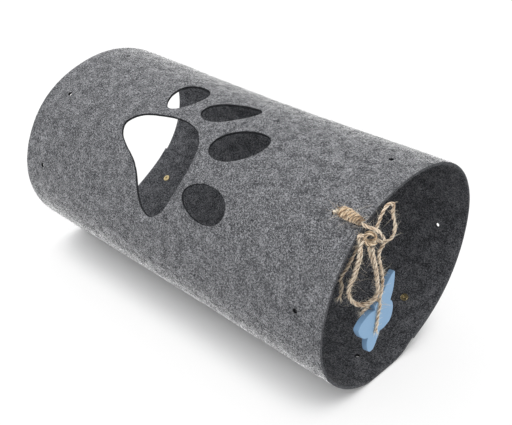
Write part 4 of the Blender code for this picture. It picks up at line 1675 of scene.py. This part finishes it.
@dataclass(frozen=True)
class TwineRun:
    """One stretch of twine and the node that it stands for."""

    node: str
    route: np.ndarray
    body: Body
    seed: int
    start: EndCut = EndCut.TUCKED
    end: EndCut = EndCut.TUCKED
    make: TwineMake = TwineMake()
    finish: TwineFinish = JUTE
    strays: tuple[np.ndarray, ...] = ()

    def build(self) -> bpy.types.Object:
        """Makes the twine and its loose fibres, and fits both to the frame.

        Returns:
            The twine's piece.
        """
        length = float(travelled(self.route)[-1])
        line = spaced(self.route, round(length / self.make.ring_spacing) + 1)
        draft = MeshDraft()
        self.make.fill(draft, line, self.seed)
        piece = draft.piece(self.node + "_lay", [material_of(self.finish)])
        loose = MeshDraft()
        self.make.fuzz(loose, line, self.seed)
        if self.start is EndCut.FRAYED:
            self.make.fray(loose, line[::-1], self.seed)
        if self.end is EndCut.FRAYED:
            self.make.fray(loose, line, self.seed)
        for stray in self.strays:
            self.make.wisp.follow(loose, stray)
        fibres = loose.piece(self.node + "_fibres", [material_of(PALE_HAIR)])
        for made in (piece, fibres):
            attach(made, self.body.value)
        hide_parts(self.node)
        LOG.info("%s: %.1f mm of twine", self.node, length / MILLIMETRE)
        return piece


@dataclass(frozen=True)
class Lashing:
    """The twine that goes through the lacing hole and over the rim, its winding and the bow.

    Hole routes run along X, back along the arc and outwards from the twine hole. Knot routes run
    right along the picture plane, towards -Y and up, from the knot.
    """

    sheet: FeltSheet
    hanging_turn: float = math.radians(43.5)
    knot_from_hole: Spot = (0.0432, -0.0050, -0.0088)
    winding_start: float = 0.0066
    winding_end: float = 0.0350
    winding_turns: float = 9.0
    winding_phase: float = math.radians(70)
    winding_stations: tuple[float, ...] = (0, 0.0060, 0.0140, 0.0200, 0.0280, 0.0350, 0.0440)
    winding_radii: tuple[float, ...] = (0.0031, 0.0031, 0.0049, 0.0048, 0.0037, 0.0031, 0.0031)
    knot_radius: float = 0.0055
    knot_pitch: float = 0.0031
    knot_turns: float = 2.25
    knot_phase: float = math.radians(225)
    coil_points: int = 60
    axis_points: int = 400
    leg_spacing: float = 0.0034
    hang_spacing: float = 0.0052
    stray_spacing: float = 0.001
    tight: TwineMake = TwineMake(
        radius=0.00162, hairs_per_metre=900, wisps_per_metre=30, end_slimming=0.45
    )
    knotted: TwineMake = TwineMake(radius=0.00160, hairs_per_metre=800, wisps_per_metre=40)
    leg_start_route: Route = ((-0.0077, 0, 0.0004), (-0.0096, 0.0002, 0.0012))
    leg_inner_route: Route = (
        (0.0362, -0.0072, -0.0064), (0.0300, -0.0060, -0.0072), (0.0220, -0.0040, -0.0080),
        (0.0140, -0.0016, -0.0085), (0.0085, -0.0004, -0.0086), (0.0040, 0, -0.0078),
        (0.0012, 0, -0.0056), (0.0001, 0, -0.0028), (0, 0, -0.0004), (0.0008, 0, 0.0020),
        (0.0026, 0.0004, 0.0040),
    )
    winding_axis_route: Route = (
        (0.0056, 0.0009, 0.0054), (0.0094, 0.0014, 0.0063), (0.0150, 0.0017, 0.0071),
        (0.0205, 0.0016, 0.0070), (0.0265, 0.0013, 0.0061), (0.0322, 0.0011, 0.0053),
    )
    leg_outer_route: Route = (
        (-0.0050, -0.0004, 0.0127), (0, 0, 0.0112), (0.0052, 0, 0.0090), (0.0098, 0, 0.0048),
        (0.0126, -0.0003, 0.0002), (0.0140, -0.0008, -0.0030),
    )
    front_loop_route: Route = (
        (-0.0064, 0.0030, 0.0045), (-0.0088, 0.0030, 0.0056), (-0.0110, 0.0030, 0.0046),
        (-0.0112, 0.0030, 0.0005), (-0.0094, 0.0030, -0.0060), (-0.0076, 0.0030, -0.0130),
        (-0.0076, 0.0030, -0.0200), (-0.0095, 0.0030, -0.0310), (-0.0117, 0.0030, -0.0435),
        (-0.0155, 0.0030, -0.0525), (-0.0165, 0.0030, -0.0615), (-0.0135, 0.0030, -0.0710),
        (-0.0080, 0.0030, -0.0757), (-0.0020, 0.0030, -0.0760), (0.0035, 0.0030, -0.0738),
        (0.0090, 0.0030, -0.0680), (0.0113, 0.0030, -0.0600), (0.0095, 0.0030, -0.0480),
        (0.0070, 0.0030, -0.0345), (0.0030, 0.0030, -0.0225), (-0.0005, 0.0030, -0.0115),
        (-0.0010, 0.0030, -0.0077),
    )
    back_loop_route: Route = (
        (-0.0068, 0.0045, 0.0002), (-0.0084, 0.0058, -0.0030), (-0.0102, 0.0062, -0.0100),
        (-0.0104, 0.0062, -0.0180), (-0.0120, 0.0062, -0.0290), (-0.0143, 0.0062, -0.0410),
        (-0.0174, 0.0062, -0.0505), (-0.0180, 0.0062, -0.0595), (-0.0143, 0.0062, -0.0700),
        (-0.0085, 0.0062, -0.0750), (-0.0025, 0.0062, -0.0757), (0.0035, 0.0062, -0.0738),
        (0.0093, 0.0062, -0.0670), (0.0113, 0.0062, -0.0580), (0.0100, 0.0062, -0.0455),
        (0.0080, 0.0062, -0.0320), (0.0050, 0.0062, -0.0205), (0.0030, 0.0062, -0.0120),
        (0.0024, 0.0056, -0.0074),
    )
    tail_route: Route = (
        (-0.0046, -0.0020, -0.0055), (-0.0072, -0.0020, -0.0080), (-0.0108, -0.0020, -0.0115),
        (-0.0130, -0.0020, -0.0190), (-0.0165, -0.0020, -0.0280), (-0.0192, -0.0020, -0.0365),
        (-0.0232, -0.0020, -0.0440), (-0.0250, -0.0020, -0.0505), (-0.0228, -0.0020, -0.0575),
        (-0.0235, -0.0020, -0.0645), (-0.0245, -0.0020, -0.0715),
    )
    bow_route: Route = (
        (0.0052, -0.0024, 0.0054), (0.0062, -0.0044, 0.0090), (0.0088, -0.0068, 0.0160),
        (0.0118, -0.0086, 0.0245), (0.0155, -0.0100, 0.0305), (0.0195, -0.0112, 0.0322),
        (0.0220, -0.0118, 0.0285), (0.0212, -0.0120, 0.0225), (0.0222, -0.0118, 0.0160),
        (0.0242, -0.0115, 0.0095), (0.0246, -0.0108, 0.0025), (0.0236, -0.0102, -0.0045),
        (0.0205, -0.0098, -0.0088), (0.0160, -0.0094, -0.0105), (0.0110, -0.0086, -0.0094),
        (0.0074, -0.0066, -0.0070), (0.0053, -0.0034, -0.0049),
    )
    stray_routes: tuple[Route, ...] = (
        ((-0.0122, 0.0030, -0.0389), (-0.0096, 0.0040, -0.0447), (-0.0050, 0.0045, -0.0460),
         (-0.0004, 0.0040, -0.0447), (0.0050, 0.0035, -0.0455)),
        ((-0.0165, 0.0030, -0.0580), (-0.0110, 0.0040, -0.0522), (-0.0056, 0.0045, -0.0560),
         (-0.0010, 0.0040, -0.0605)),
        ((-0.0176, -0.0020, -0.0290), (-0.0205, -0.0010, -0.0330), (-0.0190, 0, -0.0375),
         (-0.0150, 0.0010, -0.0385)),
    )

    @functools.cached_property
    def hole(self) -> Matrix:
        """The twine hole's own frame."""
        return self.sheet.roll.frame_at(self.sheet.ring_x, self.sheet.twine_hole_arc)

    @functools.cached_property
    def knot(self) -> Vector:
        """The knot's centre."""
        return self.hole @ Vector(self.knot_from_hole)

    @property
    def rightward(self) -> Vector:
        """Right along the picture plane."""
        return Vector((math.cos(self.hanging_turn), math.sin(self.hanging_turn), 0))

    @property
    def forward(self) -> Vector:
        """Towards -Y, square to the picture plane."""
        return Vector((math.sin(self.hanging_turn), -math.cos(self.hanging_turn), 0))

    def from_hole(self, points: Route) -> list[Vector]:
        """Gives places measured from the twine hole."""
        return [self.hole @ Vector(point) for point in points]

    def from_knot(self, points: Route) -> list[Vector]:
        """Gives places measured from the knot."""
        right, front = self.rightward, self.forward
        return [self.knot + right * h + front * b + Vector((0, 0, z)) for h, b, z in points]

    def leg_line(self) -> np.ndarray:
        """Route of the leg, from the knot, out through the hole and back over the rim.

        Returns:
            The route's points.
        """
        path = self.from_knot(self.leg_start_route)
        path += self.from_hole(self.leg_inner_route + self.winding_axis_route)
        path += self.from_knot(self.leg_outer_route)
        return evenly(path, self.leg_spacing)

    def winding_line(self) -> np.ndarray:
        """Route of the winding round the leg.

        Returns:
            The route's points.
        """
        ends = self.from_knot(self.leg_outer_route[:2])
        axis = smooth_line(self.from_hole(self.winding_axis_route) + ends, self.axis_points)
        turn = np.array(self.hole.to_3x3())
        start = self.hole.translation.x
        count = round(self.winding_turns * self.coil_points)
        share = np.arange(count + 1) / count
        reach = self.winding_start + (self.winding_end - self.winding_start) * share
        spots = [np.interp(start + reach, axis[:, 0], axis[:, k]) for k in range(3)]
        radius = np.interp(reach, self.winding_stations, self.winding_radii)
        angle = self.winding_phase + FULL_TURN * self.winding_turns * share
        sides = np.stack([np.zeros_like(angle), np.sin(angle), np.cos(angle)]) * radius
        return self.led_in(np.stack(spots, axis=1) + (turn @ sides).T)

    def knot_line(self) -> np.ndarray:
        """Route of the knot's turns, round a level axis.

        Returns:
            The route's points.
        """
        count = round(self.knot_turns * self.coil_points)
        turn = self.knot_turns * np.arange(count + 1) / count
        angle = self.knot_phase + FULL_TURN * turn
        out = np.outer(np.cos(angle), self.rightward) + np.outer(np.sin(angle), (0, 0, 1))
        along = np.outer(self.knot_pitch * (turn - self.knot_turns / 2), self.forward)
        return self.led_in(np.array(self.knot) + out * self.knot_radius + along)

    def led_in(self, coil: np.ndarray) -> np.ndarray:
        """Adds a straight stretch to each end of a coil's route.

        Args:
            coil: The coil's points.

        Returns:
            The route with both stretches.
        """
        first = coil[0] + units(coil[0] - coil[1]) * TWINE_DIAMETER
        last = coil[-1] + units(coil[-1] - coil[-2]) * TWINE_DIAMETER
        return np.vstack([first, coil, last])

    def hung(self, route: Route) -> np.ndarray:
        """Route of a stretch that hangs free of the knot."""
        return evenly(self.from_knot(route), self.hang_spacing)

    def build(self) -> list[bpy.types.Object]:
        """Makes every stretch of twine that stays with the tunnel.

        Returns:
            The pieces, in the order of their stretches.
        """
        body = Body.TUNNEL
        leg, winding, knot = self.leg_line(), self.winding_line(), self.knot_line()
        bow, tail = self.hung(self.bow_route), self.hung(self.tail_route)
        front, back = self.hung(self.front_loop_route), self.hung(self.back_loop_route)
        thin = self.stray_spacing
        strays = tuple(evenly(self.from_knot(route), thin) for route in self.stray_routes)
        runs = [
            TwineRun("lashing_leg", leg, body, 1),
            # The winding and the knot take the jute copy with painted warm shade.
            TwineRun("lashing_winding", winding, body, 2, make=self.tight, finish=SHADED_WARM_JUTE),
            TwineRun("bow_knot", knot, body, 3, make=self.knotted, finish=SHADED_WARM_JUTE),
            TwineRun("bow_loop", bow, body, 4),
            TwineRun("hanging_loop_front", front, body, 5, strays=strays),
            TwineRun("hanging_loop_back", back, body, 6),
            TwineRun("free_tail", tail, body, 7, end=EndCut.FRAYED),
        ]
        return [run.build() for run in runs]


@dataclass(frozen=True)
class HangingToy:
    """The foam butterfly, the strand that holds it and the tie round its neck."""

    lashing: Lashing
    from_knot: Spot = (0.0134, 0.0010, -0.0851)
    turn: float = math.radians(10)
    roll: float = math.radians(-19)
    thickness: float = 0.0056
    edge_round: float = 0.0004
    grid_step: float = 0.003
    dent_height: float = 0.00012
    dent_length: float = 0.009
    dent_seed: float = 2.2
    strand_spacing: float = 0.0052
    tie_spacing: float = 0.0034
    strand_route: Route = (
        (0.0150, -0.0010, -0.0050), (0.0134, -0.0013, -0.0090), (0.0110, -0.0017, -0.0140),
        (0.0102, -0.0018, -0.0190), (0.0106, -0.0018, -0.0250), (0.0132, -0.0020, -0.0340),
        (0.0158, -0.0022, -0.0460), (0.0165, -0.0020, -0.0560), (0.0158, -0.0010, -0.0650),
        (0.0151, -0.0002, -0.0700), (0.0149, 0.0001, -0.0732),
    )
    tie_route: Route = (
        (0.0109, 0.0205, 0.0019), (0.0082, 0.0155, 0.0019), (0.0050, 0.0085, 0.0019),
        (0.0018, 0.0020, 0.0019), (-0.0006, -0.0025, 0.0020), (-0.0024, -0.0058, 0.0022),
        (-0.0040, -0.0080, 0.0019), (-0.0054, -0.0088, 0.0002), (-0.0059, -0.0087, -0.0024),
        (-0.0059, -0.0087, -0.0050), (-0.0046, -0.0082, -0.0075), (-0.0014, -0.0068, -0.0081),
        (0.0030, -0.0062, -0.0079), (0.0085, -0.0078, -0.0077), (0.0140, -0.0112, -0.0075),
        (0.0165, -0.0122, -0.0074),
    )
    head_outline: Outline = (
        (0, -0.0110), (0.0018, -0.0106), (0.0034, -0.0091), (0.0040, -0.0070),
        (0.0036, -0.0054), (0.0043, -0.0046),
    )
    wing_outline: Outline = (
        (0.0043, -0.0046), (0.0090, -0.0088), (0.0170, -0.0127), (0.0250, -0.0155),
        (0.0330, -0.0168), (0.0385, -0.0160), (0.0401, -0.0135), (0.0390, -0.0060),
        (0.0358, 0.0032), (0.0312, 0.0112), (0.0255, 0.0172),
    )
    lobe_outline: Outline = (
        (0.0255, 0.0172), (0.0284, 0.0215), (0.0298, 0.0280), (0.0292, 0.0348),
        (0.0258, 0.0420), (0.0202, 0.0458), (0.0150, 0.0450), (0.0080, 0.0418), (0, 0.0362),
    )
    neck_reach: float = 0.008
    wing_shift: float = 0.0016
    outline_spacing: float = 0.0009

    @functools.cached_property
    def frame(self) -> Matrix:
        """Axes along the wing, down the body and out of the front face.

        Returns:
            The matrix, with its origin on the front face.
        """
        normal = Vector((math.cos(self.turn), math.sin(self.turn), 0))
        level = Vector((-math.sin(self.turn), math.cos(self.turn), 0))
        down = -(Vector((0, 0, 1)) * math.cos(self.roll) + level * math.sin(self.roll))
        turned = Matrix((down.cross(normal), down, normal)).transposed().to_4x4()
        return Matrix.Translation(self.lashing.from_knot((self.from_knot,))[0]) @ turned

    def outline(self) -> np.ndarray:
        """Gives the butterfly's closed outline.

        Returns:
            The outline's points, one row each.
        """
        rows = []
        for part in (self.head_outline, self.wing_outline, self.lobe_outline):
            rows.append(evenly(np.array(part), self.outline_spacing)[1 if rows else 0 :])
        half = np.vstack(rows)
        whole = np.vstack([half, half[-2:0:-1] * np.array([-1, 1])])
        outer = np.clip((np.abs(whole[:, 0]) - self.neck_reach) / self.neck_reach, 0, 1)
        whole[:, 0] -= self.wing_shift * outer
        return whole

    def place(self, flat: np.ndarray, depth: np.ndarray) -> np.ndarray:
        """Puts the plate's points in space, with the faint dents of soft foam.

        Args:
            flat: Places on the flat plate.
            depth: Their depths from the front face.

        Returns:
            The points in space.
        """
        turn = np.array(self.frame.to_3x3())
        spot = np.array(self.frame.translation)
        keys = np.column_stack([flat, depth])
        dents = unevenness(keys, self.dent_length, self.dent_seed) * self.dent_height
        return spot + np.column_stack([flat, dents - depth]) @ turn.T

    def build(self) -> list[bpy.types.Object]:
        """Makes the butterfly, its strand and its tie.

        Returns:
            The pieces.
        """
        outline = leftward(self.outline(), solid_inside=True)
        plate = CutPlate(outline, (), (), self.thickness, self.edge_round, self.grid_step)
        draft = MeshDraft()
        # The edge walls get finish 1, the foam copy with painted shade.
        plate.fill(draft, self.place, [1], back_finish=0)
        toy = draft.piece("butterfly_foam", [material_of(BLUE_FOAM), material_of(FOAM_WALL_SHADE)])
        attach(toy, Body.BUTTERFLY.value)
        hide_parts("butterfly_toy")
        strand = evenly(self.lashing.from_knot(self.strand_route), self.strand_spacing)
        tie = evenly([self.frame @ Vector(point) for point in self.tie_route], self.tie_spacing)
        cut = EndCut.FRAYED
        runs = [
            TwineRun("toy_strand", strand, Body.STRAND, 8),
            TwineRun("toy_tie", tie[::-1], Body.BUTTERFLY, 9, start=cut, end=cut),
        ]
        return [toy] + [run.build() for run in runs]


@dataclass(frozen=True)
class PressStud:
    """One press stud: a domed cap outside, and a flange with an eye inside the tube."""

    end: str
    x: float
    roll: TunnelRoll
    seat: float = 0.00045
    cap_radius: float = 0.0062
    cap_height: float = 0.0012
    dome: float = 0.0005
    shaft_radius: float = 0.0014
    pocket_depth: float = 0.0015
    flange_radius: float = 0.00475
    flange_height: float = 0.0008
    eye_radius: float = 0.0018
    eye_depth: float = 0.0005
    lip: float = 0.0004
    lip_steps: int = 6
    sink: float = 0.0001
    axis_gap: float = 0.00002
    dome_shares: tuple[float, ...] = (0.25, 0.5, 0.7, 0.85)
    eye_shares: tuple[Span, ...] = ((0.55, 1 / 3), (0.3, 0.8))
    cap_lip_turn: Span = (70, -40)
    flange_lip_turn: Span = (80, -90)
    eye_lip_turn: Span = (-90, -180)
    segments: int = 72
    sharp_angle: float = math.radians(50)

    def lip_arc(self, radius: float, height: float, span: Span) -> list[Span]:
        """Gives points of a rolled lip.

        Args:
            radius: The lip's middle, from the stud's axis.
            height: The lip's middle, along the axis.
            span: The first and the last angle, in degrees.

        Returns:
            Radius and height pairs.
        """
        turns = np.radians(np.linspace(*span, self.lip_steps + 1))
        level, up = radius + self.lip * np.cos(turns), height + self.lip * np.sin(turns)
        return list(zip(level, up))

    def turned(self, name: str, profile: list[Span]) -> bpy.types.Object:
        """Turns a half profile about the stud's axis.

        Args:
            name: The piece's name.
            profile: Radius and height pairs, from the axis round to the axis.

        Returns:
            The turned piece, placed on the roll.
        """
        place = self.roll.frame_at(self.x, self.roll.stud_arc)
        angle = FULL_TURN * np.arange(self.segments) / self.segments
        rings = []
        for radius, height in profile:
            ring = [np.cos(angle) * radius, np.sin(angle) * radius, np.full_like(angle, height)]
            rings.append(np.stack(ring, axis=1))
        points = np.vstack(rings) @ np.array(place.to_3x3()).T + np.array(place.translation)
        low, high = range(self.segments), range(len(points) - self.segments, len(points))
        faces = flipped(band_faces(len(profile), self.segments))
        draft = MeshDraft()
        draft.add(points, [*faces, tuple(low), tuple(reversed(high))])
        piece = draft.piece(name, [material_of(BRASS)])
        piece.data.set_sharp_from_angle(angle=self.sharp_angle)
        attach(piece, Body.TUNNEL.value)
        return piece

    def build(self) -> list[bpy.types.Object]:
        """Makes the two visible pieces and finishes the two between the felt layers.

        Returns:
            The visible pieces, the outer one first.
        """
        axis, shaft, lip = self.axis_gap, self.shaft_radius, self.lip
        top = self.seat + self.cap_height
        foot = self.roll.layer_gap - self.pocket_depth
        rim = self.cap_radius - lip
        cap = [(axis, top)]
        for share in self.dome_shares:
            cap.append((self.cap_radius * share, top - self.dome * share**2))
        cap += self.lip_arc(rim, top - self.dome - lip, self.cap_lip_turn)
        cap += [(rim, -self.sink), (shaft, -self.sink), (shaft, foot), (axis, foot)]
        outside = self.turned(self.end + "_snap_dome", cap)
        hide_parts(self.end + "_snap_cap")

        face = -2 * self.roll.felt_thickness - self.roll.layer_gap - self.seat
        back = face - self.flange_height
        head = face + self.roll.felt_thickness - self.pocket_depth / 2
        rim, eye = self.flange_radius - lip, self.eye_radius
        floor = back + self.eye_depth + lip / 2
        post = [(axis, head), (shaft, head), (shaft, face + self.seat)]
        post += [(rim, face + self.seat + self.sink)]
        post += self.lip_arc(rim, back + lip, self.flange_lip_turn)
        post += self.lip_arc(eye + lip, back + lip, self.eye_lip_turn)
        post += [(eye, floor)]
        post += [(eye * across, floor - lip * down) for across, down in self.eye_shares]
        post += [(axis, floor - lip)]
        inner = self.turned(self.end + "_snap_flange", post)
        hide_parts(self.end + "_snap_post")

        for part in ("_snap_socket", "_snap_stud"):
            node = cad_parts[self.end + part]
            node.data.materials.clear()
            node.data.materials.append(material_of(BRASS))
        return [outside, inner]


@dataclass(frozen=True)
class SoftLamp:
    """One broad square lamp."""

    name: str
    place: Spot
    aim: Spot
    size: float
    power: float

    def build(self) -> None:
        """Hangs the lamp and turns it to its aim."""
        light = bpy.data.lights.new(self.name, "AREA")
        light.size = self.size
        light.energy = self.power
        made = bpy.data.objects.new(self.name, light)
        made.location = self.place
        aim = Vector(self.aim) - Vector(self.place)
        made.rotation_euler = aim.to_track_quat("-Z", "Y").to_euler()
        bpy.context.scene.collection.objects.link(made)


@dataclass(frozen=True)
class Studio:
    """A plain white floor and soft light from all round."""

    floor_size: float = 30.0
    floor_bounce: float = 0.82
    mouth_bounce: float = 0.40
    mouth_reach: Span = (0.15, 0.75)
    floor_glow: float = 0.80
    shade_reach: float = 0.07
    shade_span: Span = (0.40, 0.85)
    sky_low: float = 0.12
    sky_high: float = 1.84
    sky_axis: Spot = (-0.45, 0.02, 0.893)
    sky_span: Span = (-0.1, 1.0)
    lamps: tuple[SoftLamp, ...] = (
        SoftLamp("mouth_lamp", (2.6, -0.28, 0.36), (0.25, 0, 0.12), 0.6, 21.0),
        SoftLamp("far_lamp", (-1.9, -0.55, 0.42), (-0.1, 0, 0.12), 0.8, 7.0),
        SoftLamp("side_lamp", (-0.2, -2.1, 0.5), (0, 0, 0.1), 1.6, 2.5),
    )

    def seen_share(self, bench: NodeBench) -> bpy.types.NodeSocket:
        """Gives 1 where the camera, a reflection or a clear piece looks, and 0 for lighting.

        Args:
            bench: The bench of the tree that needs it.

        Returns:
            The share's output socket.
        """
        path = bench.put("LightPath").outputs
        seen = bench.maths("MAXIMUM", path["Is Camera Ray"], path["Is Glossy Ray"])
        return bench.maths("MAXIMUM", seen, path["Is Transmission Ray"])

    def floor(self) -> None:
        """Makes the floor, white where it is seen, with the object's soft shadow."""
        half = self.floor_size / 2
        corners = [(-half, -half, 0), (half, -half, 0), (half, half, 0), (-half, half, 0)]
        draft = MeshDraft()
        draft.add(np.array(corners), [(0, 1, 2, 3)])
        bench = SurfaceBench("white_floor")
        bench.tree.nodes.clear()
        seen = self.seen_share(bench)
        spot = bench.put("SeparateXYZ", {0: bench.put("NewGeometry").outputs["Position"]})
        ahead = bench.mapped(spot.outputs["X"], *self.mouth_reach)
        grey = bench.between(ahead, self.floor_bounce, self.mouth_bounce)
        matt = bench.put("BsdfDiffuse", {"Color": bench.blended(seen, grey, WHITE)})
        glow = bench.put("Emission", {"Color": WHITE, "Strength": 1.0})
        near = bench.put("AmbientOcclusion", {"Distance": self.shade_reach}).outputs["AO"]
        lit = bench.maths("MULTIPLY", bench.mapped(near, *self.shade_span), self.floor_glow)
        share = bench.maths("MULTIPLY", seen, lit)
        both = bench.put("MixShader", {0: share, 1: matt.outputs[0], 2: glow.outputs[0]})
        bench.put("OutputMaterial", {"Surface": both.outputs[0]})
        draft.piece("studio_floor", [bench.made])

    def sky(self) -> None:
        """Lights the scene from all round, and shows plain white."""
        world = bpy.data.worlds.new("white_sky")
        world.use_nodes = True
        world.node_tree.nodes.clear()
        bench = NodeBench(world.node_tree)
        seen = self.seen_share(bench)
        sockets = {0: bench.put("TexCoord").outputs["Generated"], 1: self.sky_axis}
        facing = bench.put("VectorMath", sockets, operation="DOT_PRODUCT").outputs["Value"]
        height = bench.mapped(facing, *self.sky_span)
        light = bench.scaled(height, self.sky_high - self.sky_low, self.sky_low)
        light = bench.maths("MULTIPLY", bench.maths("SUBTRACT", 1.0, seen), light)
        strength = bench.maths("ADD", light, seen)
        sky = bench.put("Background", {"Color": WHITE, "Strength": strength})
        bench.put("OutputWorld", {"Surface": sky.outputs[0]})
        bpy.context.scene.world = world

    def build(self) -> None:
        """Sets up the floor, the sky and the lamps."""
        self.floor()
        self.sky()
        for lamp in self.lamps:
            lamp.build()
        bpy.context.scene.view_settings.view_transform = "Standard"


@dataclass(frozen=True)
class PhotoCamera:
    """The camera, where the photograph was taken from."""

    place: Spot = (0.6222, -0.6138, 0.6328)
    heading: float = math.radians(-46.46)
    elevation: float = math.radians(31.43)
    lens: float = 57.28
    sensor: float = 36.0
    clip_start: float = 0.01

    def build(self) -> None:
        """Makes the camera and makes it the scene's own."""
        data = bpy.data.cameras.new("photo_camera")
        data.lens = self.lens
        data.sensor_width = self.sensor
        data.sensor_fit = "HORIZONTAL"
        data.clip_start = self.clip_start
        made = bpy.data.objects.new("photo_camera", data)
        level = math.cos(self.elevation)
        back = Vector((level * math.cos(self.heading), level * math.sin(self.heading), 0))
        back.z = math.sin(self.elevation)
        right = Vector((0, 0, 1)).cross(back).normalized()
        axes = Matrix((right, back.cross(right), back)).transposed().to_4x4()
        made.matrix_world = Matrix.Translation(Vector(self.place)) @ axes
        bpy.context.scene.collection.objects.link(made)
        bpy.context.scene.camera = made


def main() -> None:
    """Builds the dressed tunnel, piece by piece."""
    logging.basicConfig(level=logging.INFO, format="%(name)s: %(message)s")
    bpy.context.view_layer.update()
    PhotoCamera().build()
    roll = TunnelRoll()
    sheet = FeltSheet(roll)
    lashing = Lashing(sheet)
    pieces = lashing.build()
    pieces += HangingToy(lashing).build()
    pieces.append(sheet.build())
    for end, x in (("near", sheet.stud_x), ("far", -sheet.stud_x)):
        pieces += PressStud(end, x, roll).build()
    Studio().build()
    for piece in pieces:
        LOG.info("%s: %d faces", piece.name, len(piece.data.polygons))


if __name__ == "__main__":
    main()
